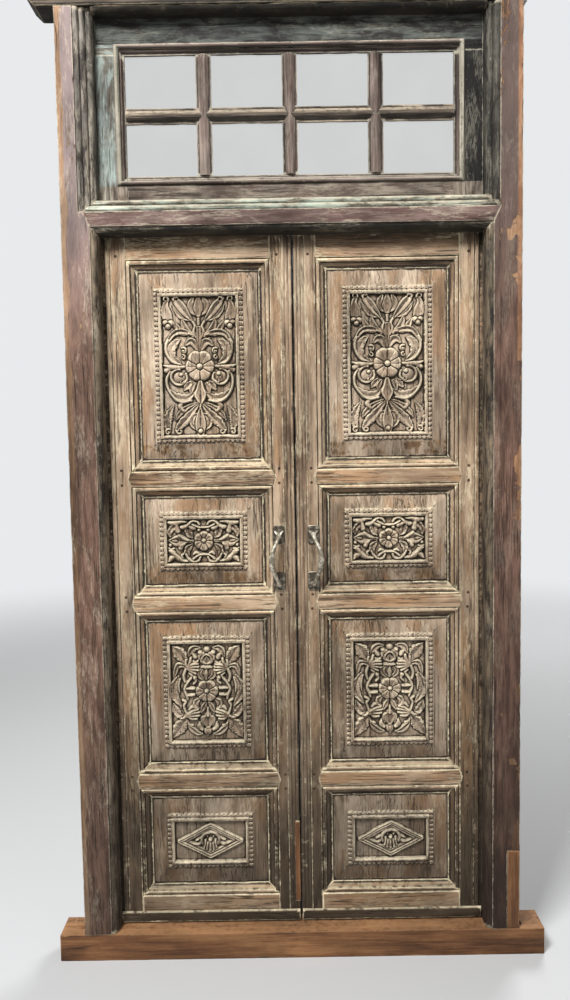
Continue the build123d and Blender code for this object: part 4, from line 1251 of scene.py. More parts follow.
LOWER_WIDE_FORMS = (
    Stroke(((0, 48), (46, 23), (92, -1)), (10, 10, 10), (7, 7), Section.BAND),
    Stroke(((0, -48), (46, -25), (92, -1)), (10, 10, 10), (7, 7), Section.BAND),
    stem(((0, 37), (35, 18), (70, -1)), (6, 6, 6), (5, 5)),
    stem(((0, -37), (35, -20), (70, -1)), (6, 6, 6), (5, 5)),
    stem(((25, -5), (38, -10), (50, -8), (61, -2)), (7, 9, 7, 3), (6.5, 7.5)),
    stem(((28, 9), (36, 5), (44, 2)), (6, 7, 3), (6.5, 7)),
    stem(((0, 26), (14, 22), (24, 12), (26, -2), (20, -12)), (9, 9, 9, 8), (8.2, 8.2, 7)),
    stem(((12, 18), (8, 11)), (6, 4), (6, 5)),
    stem(((15, 1), (15, -10), (17, -20)), (6, 8, 9), (7, 8.5), over=True),
    stem(((8, -8), (9, -17), (10, -25)), (6, 8, 9), (7, 8.5), over=True),
    stem(((0, -8), (0, -17), (0, -27)), (5, 8, 9), (7, 8.8), over=True),
    Boss(0, 2, 6.4, 9),
)


@dataclass(frozen=True)
class PanelKind:
    """One of the four panels of a leaf. Lengths in millimetres. sight is the height of the part
    that shows, block that of the raised block, drawn that of the ground that forms are drawn on."""

    name: str
    block: float
    sight: float
    drawn: float
    forms: tuple[Stroke | Boss | Flower, ...]
    pitch: float


@dataclass
class CarvedPanels:
    """The eight carved panels. Lengths in millimetres.

    face is the depth of the leaf's front. The sinks lie behind it: panel_sink at the sight edge,
    margin_rise less beside the block, ground_sink for the carved ground, and those of the frieze
    and the fillet, which the teeth, beads and crown rise from. boldness swells the carving's
    height. coarse is the pitch of the grid beyond the block. The back is a field, back_field
    proud, within a margin of back_margin and a slope of back_slope.
    """

    kinds: tuple[PanelKind, ...] = (
        PanelKind("lower_wide_panel", 166, 263, 122, LOWER_WIDE_FORMS, 1.5),
        PanelKind("square_panel", 335, 421, 291, SQUARE_FORMS, 1.4),
        PanelKind("upper_wide_panel", 172, 255, 128, UPPER_WIDE_FORMS, 1.3),
        PanelKind("tall_panel", 436, 533, 392, TALL_FORMS, 1.45),
    )
    block_width: float = 255.0
    sight_width: float = 343.25
    face: float = 12.0
    panel_sink: float = 14.0
    margin_rise: float = 6.0
    ground_sink: float = 12.0
    boldness: float = 1.2
    frieze: float = 12.0
    fillet: float = 10.0
    tooth: float = 14.0
    tooth_rise: float = 3.6
    bead_radius: float = 2.6
    bead_rise: float = 2.4
    floor_sink: float = 7.4
    fillet_sink: float = 4.5
    crown_rise: float = 4.0
    coarse: float = 4.5
    back: float = 34.3
    back_field: float = 3.5
    back_margin: float = 30.0
    back_slope: float = 4.0

    def build(self, material: Material) -> None:
        """Builds all eight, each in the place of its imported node.

        Args:
            material: the finish of carved timber.
        """
        for side in ("left", "right"):
            for number, kind in enumerate(self.kinds):
                node = f"{side}_{kind.name}"
                piece = self.panel(node, kind, 11 * number + (5 if side == "left" else 0))
                piece.data.materials.append(material)
                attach(piece, f"{side}_leaf")
                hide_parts(node)
                LOG.info("%s: %d faces", piece.name, len(piece.data.polygons))

    def panel(self, node: str, kind: PanelKind, seed: int) -> Object:
        """One panel: a fine grid for the front, flat sides, and a raised field on the back.

        Args:
            node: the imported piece, whose box gives the place.
            kind: sizes and forms.
            seed: sets the small irregularities.

        Returns:
            The object, with the attributes edge, hollow and upward.
        """
        low, high = (np.array(corner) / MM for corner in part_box(node))
        middle = (low + high) / 2
        across = self.ticks(high[0] - middle[0], self.block_width / 2, kind.pitch)
        upward = self.ticks(high[2] - middle[2], kind.block / 2, kind.pitch)
        x, z = np.meshgrid(across, upward)
        sink = self.sink(x, z, kind, seed)
        edge, hollow = self.marks(x, z, sink, kind)
        front = np.stack([x + middle[0], self.face + sink, z + middle[2]], axis=-1)
        rows, columns = x.shape
        faces = grid_faces(rows, columns)
        corners = front.reshape(-1, 3)
        extra, closing = self.closing(front, rows, columns)
        corners = np.vstack([corners, extra]) * MM
        fill = np.zeros(len(extra))
        marks = {"edge": np.append(edge, fill), "hollow": np.append(hollow, fill)}
        return mesh_object(node + "_carved", corners, [faces, *closing], marks)

    def ticks(self, reach: float, block: float, pitch: float) -> Array:
        """Grid lines from -reach to reach: fine over the block, coarse beyond it."""
        fine = np.linspace(0, block, round(block / pitch))
        coarse = np.linspace(block + 0.4, reach, max(3, round((reach - block) / self.coarse)))
        half = np.concatenate([fine, coarse])
        return np.concatenate([-half[:0:-1], half])

    def sink(self, x: Array, z: Array, kind: PanelKind, seed: int) -> Array:
        """Depth of the panel's surface behind the leaf's face.

        Outside the block it falls with the larger of the two shares of the way to the sight edge.
        Inside, the frieze of rounded teeth comes first, then the fillet, then the carved ground.

        Args:
            x, z: places in millimetres from the panel's middle.
            kind: the panel's sizes and forms.
            seed: sets the small irregularities.

        Returns:
            Depths in millimetres.
        """
        half_x, half_z = self.block_width / 2, kind.block / 2
        spread_x = (np.abs(x) - half_x) / (self.sight_width / 2 - half_x)
        spread_z = (np.abs(z) - half_z) / (kind.sight / 2 - half_z)
        outside = np.clip(np.maximum(spread_x, spread_z), 0, 1)
        flat = np.stack([x.ravel(), z.ravel(), np.full(x.size, seed * 7.3)], axis=1)
        wobble = (cloud(flat, 23, seed + 3) - 0.5).reshape(x.shape)
        fine = (cloud(flat, 6, seed + 4) - 0.5).reshape(x.shape)
        field_sink = self.panel_sink - self.margin_rise * (1 - outside) + 0.5 * np.abs(wobble)
        inward = np.minimum(half_x - np.abs(x), half_z - np.abs(z)) + 0.9 * wobble + 0.5 * fine
        carved = self.frieze_sink(x, z, inward, half_x, half_z) - 0.5 * fine
        rail = inward - self.frieze
        crown = np.clip(1 - np.abs(rail / (self.fillet / 2) - 1) ** 3.2, 0, 1) ** 0.5
        fillet = self.fillet_sink - self.crown_rise * crown + 0.35 * fine
        carved = np.where(rail > 0, fillet, carved)
        ground = self.ground(x, z, kind, seed) + 0.35 * wobble + 0.5 * fine
        carved = np.where(rail > self.fillet, ground, carved)
        return np.where(inward > 0, carved, field_sink)

    def frieze_sink(self, x: Array, z: Array, inward: Array, half_x: float, half_z: float) -> Array:
        """Frieze: rounded teeth that hang outwards, with a small bead between each two."""
        on_side = (half_x - np.abs(x)) < (half_z - np.abs(z))
        run = np.where(on_side, z, x)
        share = run / self.tooth - np.floor(run / self.tooth) - 0.5
        down = np.clip((self.frieze * 0.5 - inward) / (self.frieze * 0.47), 0, 2)
        tooth = np.sqrt(np.clip(1 - np.hypot(share / 0.44, down) ** 3, 0, 1))
        between = (np.abs(share) - 0.5) * self.tooth
        away = np.hypot(between, inward - self.frieze * 0.62)
        bead = np.clip(1 - away / self.bead_radius, 0, 1) ** 0.5
        return self.floor_sink - self.tooth_rise * tooth - self.bead_rise * bead

    def ground(self, x: Array, z: Array, kind: PanelKind, seed: int) -> Array:
        """Sink of the carved ground: its own depth less the height of the forms on it."""
        carving = Carving(x, z * kind.drawn / (kind.block - 2 * (self.frieze + self.fillet)), seed)
        for form in kind.forms:
            carving.cut(form)
        return self.ground_sink - carving.height * self.boldness

    def marks(self, x: Array, z: Array, sink: Array, kind: PanelKind) -> tuple[Array, Array]:
        """High and low parts of the block, from the height against its own average over two widths: the
        high parts turn pale, rubbed and in part a painted highlight, and the low parts dark with soiling
        and painted shade. Beyond the block only a line along the sight edge, painted shade where the
        field meets the moulding, and the mitres of the sloping field are low.

        Args:
            x, z: places in millimetres from the panel's middle.
            sink: depth of the surface.
            kind: the panel's sizes.

        Returns:
            Flat arrays of edge and hollow.
        """
        near = soften(soften(sink, max(1, round(2.2 / kind.pitch))), 1)
        wide = soften(soften(sink, round(7 / kind.pitch)), round(5 / kind.pitch))
        # edge turns the high parts pale: rubbed wear, and in part a painted highlight. hollow darkens the low
        # parts: soiling and painted shade.
        edge = np.clip((near - sink) / 1.5, 0, 1) * 0.36 + np.clip((wide - sink) / 4.2, 0, 1) * 0.66
        hollow = np.clip((sink - near) / 1.8, 0, 1) * 0.68 + np.clip((sink - wide) / 6.5, 0, 1) * 0.72
        edge = np.maximum(edge, 0.34 * (np.abs(sink - 0.5) < 0.7))
        inward = np.minimum(self.block_width / 2 - np.abs(x), kind.block / 2 - np.abs(z))
        border = np.minimum(self.sight_width / 2 - np.abs(x), kind.sight / 2 - np.abs(z))
        past_x, past_z = np.abs(x) - self.block_width / 2, np.abs(z) - kind.block / 2
        slope = (kind.sight - kind.block) / (self.sight_width - self.block_width)
        mitre = 0.5 * smooth(1.8, 0.4, np.abs(past_z - past_x * slope)) * (inward < -4)
        # Painted shade along the sight edge, where the field meets the moulding.
        seam = np.maximum(0.7 * smooth(7.0, 2.5, border), mitre)
        hollow = np.where(inward > -1.5, np.maximum(hollow, 0.05), seam)
        edge = np.where(inward > -1.5, np.maximum(edge, 0.12), 0)
        return np.clip(edge, 0, 1).ravel(), np.clip(hollow, 0, 1).ravel()

    def closing(self, front: Array, rows: int, columns: int) -> tuple[Array, list[Array]]:
        """Sides and back of a panel, closed onto the border of its front grid.

        Args:
            front: the front grid's corners in millimetres.
            rows, columns: its size.

        Returns:
            The added corners, and the faces by their corner numbers.
        """
        number = np.arange(rows * columns).reshape(rows, columns)
        first = rows * columns
        left, right = front[0, 0, 0], front[0, -1, 0]
        bottom, top = front[0, 0, 2], front[-1, 0, 2]
        inset, raised = self.back_margin, self.back + self.back_field
        rings = []
        for margin, depth in ((0, self.back), (inset, self.back), (inset + self.back_slope, raised)):
            rings += [
                (left + margin, depth, bottom + margin), (right - margin, depth, bottom + margin),
                (right - margin, depth, top - margin), (left + margin, depth, top - margin),
            ]
        sides = [
            np.concatenate([number[0], [first + 1, first]])[::-1][None],
            np.concatenate([number[:, -1], [first + 2, first + 1]])[::-1][None],
            np.concatenate([number[-1, ::-1], [first + 3, first + 2]])[::-1][None],
            np.concatenate([number[::-1, 0], [first, first + 3]])[::-1][None],
        ]
        step = np.arange(4)
        after = (step + 1) % 4
        backs = [
            np.stack([first + base + step, first + base + after, first + base + 4 + after,
                      first + base + 4 + step], axis=1)
            for base in (0, 4)
        ]
        return np.array(rings), [*sides, *backs, (first + 8 + step)[None]]


def grid_faces(rows: int, columns: int) -> Array:
    """Four-cornered faces of a grid whose rows go up and whose columns go right, facing front."""
    number = np.arange(rows * columns).reshape(rows, columns)
    return np.stack(
        [number[:-1, :-1], number[:-1, 1:], number[1:, 1:], number[1:, :-1]], axis=-1
    ).reshape(-1, 4)


# Timber members

FRAME_MEMBERS = {
    "sill": (Along.ACROSS, "new_teak", "bare_timber"),
    "left_jamb": (Along.UP, "left_jamb", "painted_jamb"),
    "right_jamb": (Along.UP, "right_jamb", "painted_jamb"),
    "jamb_patch": (Along.UP, "new_teak", "bare_timber"),
    "transom_bar": (Along.ACROSS, "bar", "painted_bar"),
    "head_beam": (Along.ACROSS, "head", "dark_head"),
    "head_stop": (Along.ACROSS, "head", "dark_head"),
    "sash_top_rail": (Along.ACROSS, "sash", "sash_paint"),
    "sash_bottom_rail": (Along.ACROSS, "sash", "sash_paint"),
    "sash_left_stile": (Along.UP, "sash", "sash_paint"),
    "sash_right_stile": (Along.UP, "sash", "sash_paint"),
    "sash_left_bar": (Along.UP, "sash", "sash_paint"),
    "sash_middle_bar": (Along.UP, "sash", "sash_paint"),
    "sash_right_bar": (Along.UP, "sash", "sash_paint"),
    "sash_cross_bars": (Along.ACROSS, "cross", "sash_paint"),
    "sash_bead": (Along.ACROSS, "sash", "sash_paint"),
}
LEAF_MEMBERS = {
    "bottom_rail": (Along.ACROSS, "rail"),
    "lower_rail": (Along.ACROSS, "rail"),
    "middle_rail": (Along.ACROSS, "rail"),
    "upper_rail": (Along.ACROSS, "rail"),
    "top_rail": (Along.ACROSS, "rail"),
    "meeting_stile": (Along.UP, "stile"),
    "hinge_stile": (Along.UP, "stile"),
    "base_strip": (Along.ACROSS, "stile"),
}


@dataclass
class TimberWork:
    """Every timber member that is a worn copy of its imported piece."""

    finishes: dict[str, Timber]
    groups: dict[str, NodeTree]
    made: dict[tuple[str, Along], Material] = field(default_factory=dict)

    def finish(self, name: str, along: Along) -> Material:
        """The material of a finish with its grain one way, made once."""
        if (name, along) not in self.made:
            self.made[name, along] = self.finishes[name].material(along, self.groups)
        return self.made[name, along]

    def member(self, node: str, body: str, along: Along, finish: str, wear: Wear) -> None:
        """Builds one member and dresses it.

        Args:
            node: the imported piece.
            body: the body that it rides on.
            along: the way that it runs.
            finish: name of its finish.
            wear: how far it is worn.
        """
        piece = worn_member(node, along.axis, wear)
        piece.data.materials.clear()
        piece.data.materials.append(self.finish(finish, along))
        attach(piece, body)
        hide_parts(node)
        LOG.info("%s: %d faces", piece.name, len(piece.data.polygons))

    def build(self) -> None:
        """Builds the frame's members, then those of both leaves."""
        for number, (node, (along, finish, slot)) in enumerate(FRAME_MEMBERS.items()):
            is_new = slot == "bare_timber"
            wear = Wear(40 + number, 0.0022 if is_new else 0.0014, 0.0004 if is_new else 0.0022)
            self.member(node, "frame", along, finish, wear)
        for side, first in (("left", 110), ("right", 90)):
            for number, (name, (along, finish)) in enumerate(LEAF_MEMBERS.items()):
                wear = Wear(first + number)
                self.member(f"{side}_{name}", f"{side}_leaf", along, finish, wear)
        wear = Wear(140, rounding=0.001, nibble=0.0006, wave=0.0003, pitch=0.02)
        self.member("left_stile_patch", "left_leaf", Along.UP, "new_teak", wear)


# Handles, pegs and screws

@dataclass
class PullHandle:
    """A cast pull handle of one leaf: a swelling bow between two flared feet on plates, with two
    screws in each plate. Lengths in millimetres. side is 1 on the right leaf and -1 on the left."""

    side: int
    offset: float = 50.0
    face: float = 12.0
    middle: float = 1170.0
    feet: float = 135.0
    plate_width: float = 33.0
    plate_height: float = 54.0
    plate_thickness: float = 3.0
    chamfer: float = 4.5
    reach: float = 37.0
    sway: float = 21.0

    def place(self, points: Array) -> Array:
        """Turns millimetres on the right leaf into metres on this one."""
        return points * np.array([self.side, 1, 1]) * MM

    def bow(self) -> Array:
        """Bow: ellipses about a smooth line, whose size swells in the middle and at both feet.
        Each point of the line is the way sideways, the depth and the height."""
        count, sides = 65, 20
        half = self.feet / 2
        front = self.face - self.plate_thickness
        line = [
            (0, front + 2, half + 2), (0.5, front - 8, half - 2), (4, front - 17, half - 13),
            (self.sway * 0.75, -self.reach + 18, half * 0.42), (self.sway, self.face - self.reach, 0),
            (self.sway * 0.8, -self.reach + 18, -half * 0.45), (6, front - 16, -half + 8),
            (1, front - 9, -half - 4), (0, front + 2, -half - 9),
        ]
        path = smooth_line(np.array(line), count) + [self.offset, 0, self.middle]
        size = smooth_line(np.array([7.5, 6.8, 6.2, 7.4, 8.0, 7.0, 4.8, 6.4, 9.0]), count)
        ahead = np.gradient(path, axis=0)
        ahead /= np.linalg.norm(ahead, axis=1)[:, None]
        across = np.cross(ahead, [0, 0, 1.0]) + np.array([0.35, 0, 0])
        across -= np.sum(across * ahead, axis=1)[:, None] * ahead
        across /= np.linalg.norm(across, axis=1)[:, None]
        third = np.cross(ahead, across)
        turn = np.linspace(0, 2 * np.pi, sides, endpoint=False)
        round_x = np.cos(turn)[None, :, None] * across[:, None] * 1.08
        round_y = np.sin(turn)[None, :, None] * third[:, None] * 0.86
        rings = path[:, None] + (round_x + round_y) * size[:, None]
        cap = path[[0, -1], None] + 0 * rings[[0, -1]]
        return np.concatenate([cap[:1], rings, cap[1:]])

    def prongs(self) -> list[Array]:
        """Two prongs that spread from the top of the bow to below the screws."""
        sides = 12
        front = self.face - self.plate_thickness
        turn = np.linspace(0, 2 * np.pi, sides, endpoint=False)
        sizes = np.array([0.2, 3.2, 3.8, 4.2, 4.4])[:, None]
        made = []
        for lean in (-1, 1):
            line = np.array([
                (lean * 12, front + 1, self.feet / 2 + 13), (lean * 11.5, front - 1.5, self.feet / 2 + 12),
                (lean * 8, front - 3.5, self.feet / 2 + 8), (lean * 4, front - 5.5, self.feet / 2 + 2),
                (lean * 1, front - 7, self.feet / 2 - 5),
            ]) + [self.offset, 0, self.middle]
            rings = np.repeat(line[:, None], sides, axis=1)
            rings[:, :, 0] += np.cos(turn) * sizes * 0.9
            rings[:, :, 2] += np.sin(turn) * sizes * 0.5
            rings[:, :, 1] += np.sin(turn) * sizes * 0.8
            made.append(rings)
        return made

    def plate(self, centre: float) -> Array:
        """Plate: a rectangle with cut corners, a soft front arris and a dished middle."""
        w, h, c = self.plate_width / 2, self.plate_height / 2, self.chamfer
        outline = np.array([
            (w - c, -h), (w, -h + c), (w, h - c), (w - c, h), (-w + c, h), (-w, h - c), (-w, -h + c),
            (-w + c, -h),
        ])
        rings = []
        steps = ((1.0, 0.5), (1.0, -self.plate_thickness + 0.9), (0.97, -self.plate_thickness + 0.25),
                 (0.92, -self.plate_thickness), (0.7, -self.plate_thickness + 0.2))
        for scale, depth in steps:
            flat = outline * scale
            level = np.full(len(flat), self.face + depth)
            rings.append(np.stack([flat[:, 0] + self.offset, level, flat[:, 1] + centre], axis=1))
        return np.array(rings)

    def knob(self) -> Array:
        """Round knob with a ring round it, at the foot of the bow."""
        outline = [(0.01, -2), (8.5, -2), (8.5, 1.2), (7.6, 2.4), (6.4, 2.0), (6.2, 4.5), (4.4, 7.6),
                   (0.01, 8.8)]
        centre = np.array([self.offset, self.face - self.plate_thickness, self.middle - self.feet / 2 - 9])
        return lathe_rings(centre, outline, 18)

    def screws(self) -> list[Array]:
        """Screw heads: low domes with a rim, two to a plate."""
        front = self.face - self.plate_thickness
        outline = [(0.01, -1.0), (3.8, -1.0), (3.8, 0.2), (3.3, 0.9), (1.8, 1.3), (0.01, 1.4)]
        places = [
            (dx, z + dz)
            for z, dz in ((self.middle + self.feet / 2, 17.5), (self.middle - self.feet / 2, -17.5))
            for dx in (-9.0, 9.0)
        ]
        return [
            lathe_rings(np.array([self.offset + dx, front, z]), outline, 14) for dx, z in places
        ]

    def build(self, bright: Material, dark: Material) -> None:
        """Builds the bow with its prongs and knob, the plates and the screws, in the place of the
        packed handle."""
        name = "right" if self.side > 0 else "left"
        centres = (self.middle + self.feet / 2, self.middle - self.feet / 2)
        parts = {
            "bow": ([self.bow(), *self.prongs(), self.knob()], bright),
            "plates": ([self.plate(centre) for centre in centres], dark),
            "screws": (self.screws(), dark),
        }
        for part, (rings, material) in parts.items():
            piece = tubes(f"{name}_handle_{part}", [self.place(ring) for ring in rings])
            piece.data.materials.append(material)
            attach(piece, f"{name}_leaf")
            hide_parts(f"{name}_handle")
        LOG.info("%s handle", name)


@dataclass
class Pegs:
    """Pegs through the tenons of one leaf: flush ends in the stiles. Lengths in millimetres."""

    side: int
    radius: float = 4.2
    face: float = 12.0
    columns: tuple[float, ...] = (497.0, 44.0)
    levels: tuple[float, ...] = (2034.0, 1428.0, 1386.0, 1062.0, 1022.0, 528.0, 486.0, 118.0)

    def build(self, material: Material) -> None:
        """Builds all pegs of the leaf as one object."""
        outline = [(0.01, -4.0), (self.radius, -4.0), (self.radius, -0.1), (self.radius * 0.8, 0.35),
                   (0.01, 0.45)]
        rings = []
        for number, level in enumerate(self.levels):
            for x in self.columns:
                shift = 2.5 * math.sin(7.1 * number + x)
                centre = np.array([x + shift, self.face, level + shift])
                rings.append(lathe_rings(centre, outline, 12) * [self.side, 1, 1] * MM)
        name = "right" if self.side > 0 else "left"
        piece = tubes(f"{name}_pegs", rings)
        piece.data.materials.append(material)
        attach(piece, f"{name}_leaf")
        LOG.info("%s pegs: %d", name, len(rings))


@dataclass
class GapShadeStrip:
    """Dark strip let into the left leaf's meeting edge, deep in the gap between the leaves,
    so that no light shows through; its near-black tone is painted shade in the gap. Lengths in millimetres."""

    left: float = -1.9
    right: float = 1.7
    front: float = 26.0
    back: float = 38.0
    low: float = 84.0
    high: float = 2093.0

    def build(self, material: Material) -> None:
        """Builds the strip as a rounded oblong carried up the edge: the power squareness of a
        circle's sine and cosine flattens its sides."""
        count, sides, squareness = 60, 16, 0.4
        turn = np.linspace(0, 2 * np.pi, sides, endpoint=False)
        round_x, round_y = (np.sign(s) * np.abs(s) ** squareness for s in (np.cos(turn), np.sin(turn)))
        x = (self.right + self.left) / 2 + (self.right - self.left) / 2 * round_x
        y = (self.back + self.front) / 2 + (self.back - self.front) / 2 * round_y
        levels = np.linspace(self.low, self.high, count)[:, None]
        rings = np.stack([np.broadcast_to(a, (count, sides)) for a in (x, y, levels)], axis=-1)
        piece = tubes("gap_shade_strip", [rings * MM])
        piece.data.materials.append(material)
        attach(piece, "left_leaf")
        LOG.info("gap shade strip")


# Setting

@dataclass
class Studio:
    """Floor, backdrop, lamps and camera. Lengths in metres. The floor turns into the backdrop
    between the distances near and far. focal is the focal length as a share of the picture's
    longer side, and eye, right, up and ahead are the camera's place and directions."""

    reach: float = 16.0
    near: float = 2.6
    far: float = 7.0
    backdrop: Colour = srgb(232, 234, 236)
    focal: float = 0.78645
    sensor: float = 36.0
    eye: Triple = (-0.031, -2.2496, 1.4956)
    right: Triple = (0.999874, -0.001307, -0.015815)
    up: Triple = (0.015868, 0.069046, 0.997487)
    ahead: Triple = (0.000212, 0.997613, -0.069058)

    def floor(self) -> None:
        """Pale flat floor. Where it is seen, it turns into the backdrop's colour with distance,
        while near the object it takes light and shadow."""
        x, y = np.meshgrid(*[np.linspace(-self.reach, self.reach, 3)] * 2)
        corners = np.stack([x, y, 0 * x], axis=-1).reshape(-1, 3)
        piece = mesh_object("floor", corners, [grid_faces(3, 3)], {})
        made, graph, shader = new_material("pale_floor")
        shader.inputs["Base Color"].default_value = (*srgb(206, 207, 208), 1)
        shader.inputs["Roughness"].default_value = 0.9
        shader.inputs["Specular IOR Level"].default_value = 0.1
        away = graph.node("ShaderNodeVectorMath", {"operation": "LENGTH"}, Vector=graph.place())
        distant = graph.between(away.outputs["Value"], self.near, self.far)
        share = graph.times(distant, self.seen(graph))
        glow = graph.node("ShaderNodeEmission", Color=self.backdrop)
        blend = graph.node("ShaderNodeMixShader", Fac=share)
        graph.feed(blend.inputs[1], shader.outputs[0])
        graph.feed(blend.inputs[2], glow.outputs[0])
        graph.feed(made.node_tree.nodes["Material Output"].inputs["Surface"], blend.outputs[0])
        piece.data.materials.append(made)

    def seen(self, graph: Graph) -> NodeSocket:
        """1 for what the camera sees, directly, mirrored or through glass."""
        path = graph.node("ShaderNodeLightPath")
        seen = graph.math("MAXIMUM", path.outputs["Is Camera Ray"], path.outputs["Is Glossy Ray"])
        return graph.math("MAXIMUM", seen, path.outputs["Is Transmission Ray"])

    def lamp(self, name: str, place: Triple, aim: Triple, size: float, power: float) -> None:
        """Square soft lamp at a place, turned to an aim. size is in metres and power in watts."""
        light = bpy.data.lights.new(name, "AREA")
        light.size = size
        light.energy = power
        lamp = bpy.data.objects.new(name, light)
        lamp.location = place
        lamp.visible_camera = False
        lamp.visible_transmission = False
        lamp.rotation_euler = (Vector(aim) - Vector(place)).to_track_quat("-Z", "Y").to_euler()
        bpy.context.scene.collection.objects.link(lamp)

    def world(self) -> None:
        """Soft even light, seen as a pale background by the camera and in glass and metal."""
        world = bpy.data.worlds.new("studio")
        bpy.context.scene.world = world
        world.use_nodes = True
        graph = Graph(world.node_tree)
        background = world.node_tree.nodes["Background"]
        seen = self.seen(graph)
        graph.feed(background.inputs["Color"], graph.mix(seen, srgb(244, 243, 240), self.backdrop))
        strength = graph.plus(graph.times(seen, 0.8), 0.2)
        graph.feed(background.inputs["Strength"], strength)

    def camera(self) -> None:
        """Camera at the place found from the photograph's straight lines."""
        data = bpy.data.cameras.new("camera")
        data.sensor_width = self.sensor
        data.sensor_fit = "AUTO"
        data.lens = self.focal * self.sensor
        data.clip_start = 0.05
        data.clip_end = 60
        camera = bpy.data.objects.new("camera", data)
        turn = Matrix((self.right, self.up, -Vector(self.ahead))).transposed()
        camera.matrix_world = Matrix.Translation(self.eye) @ turn.to_4x4()
        bpy.context.scene.collection.objects.link(camera)
        bpy.context.scene.camera = camera

    def build(self) -> None:
        """Builds the whole setting."""
        self.floor()
        self.world()
        self.lamp("key", (-1.5, -2.7, 4.7), (0, 0, 1.6), 1.3, 300)
        self.lamp("fill", (2.6, -3.8, 2.4), (0, 0, 1.3), 2.4, 20)
        self.lamp("rear", (2.4, 3.8, 3.9), (0, 0, 1.3), 2.0, 170)
        self.camera()
        bpy.context.scene.view_settings.view_transform = "Standard"
        LOG.info("setting")


# Finishes

LIMED = srgb(224, 209, 176)
# Painted shadow that the transom bar casts on the top of each leaf.
SHADE = Band(2, 2.056, 2.2, srgb(40, 32, 24), srgb(84, 66, 50), strength=0.85, soft=0.05)
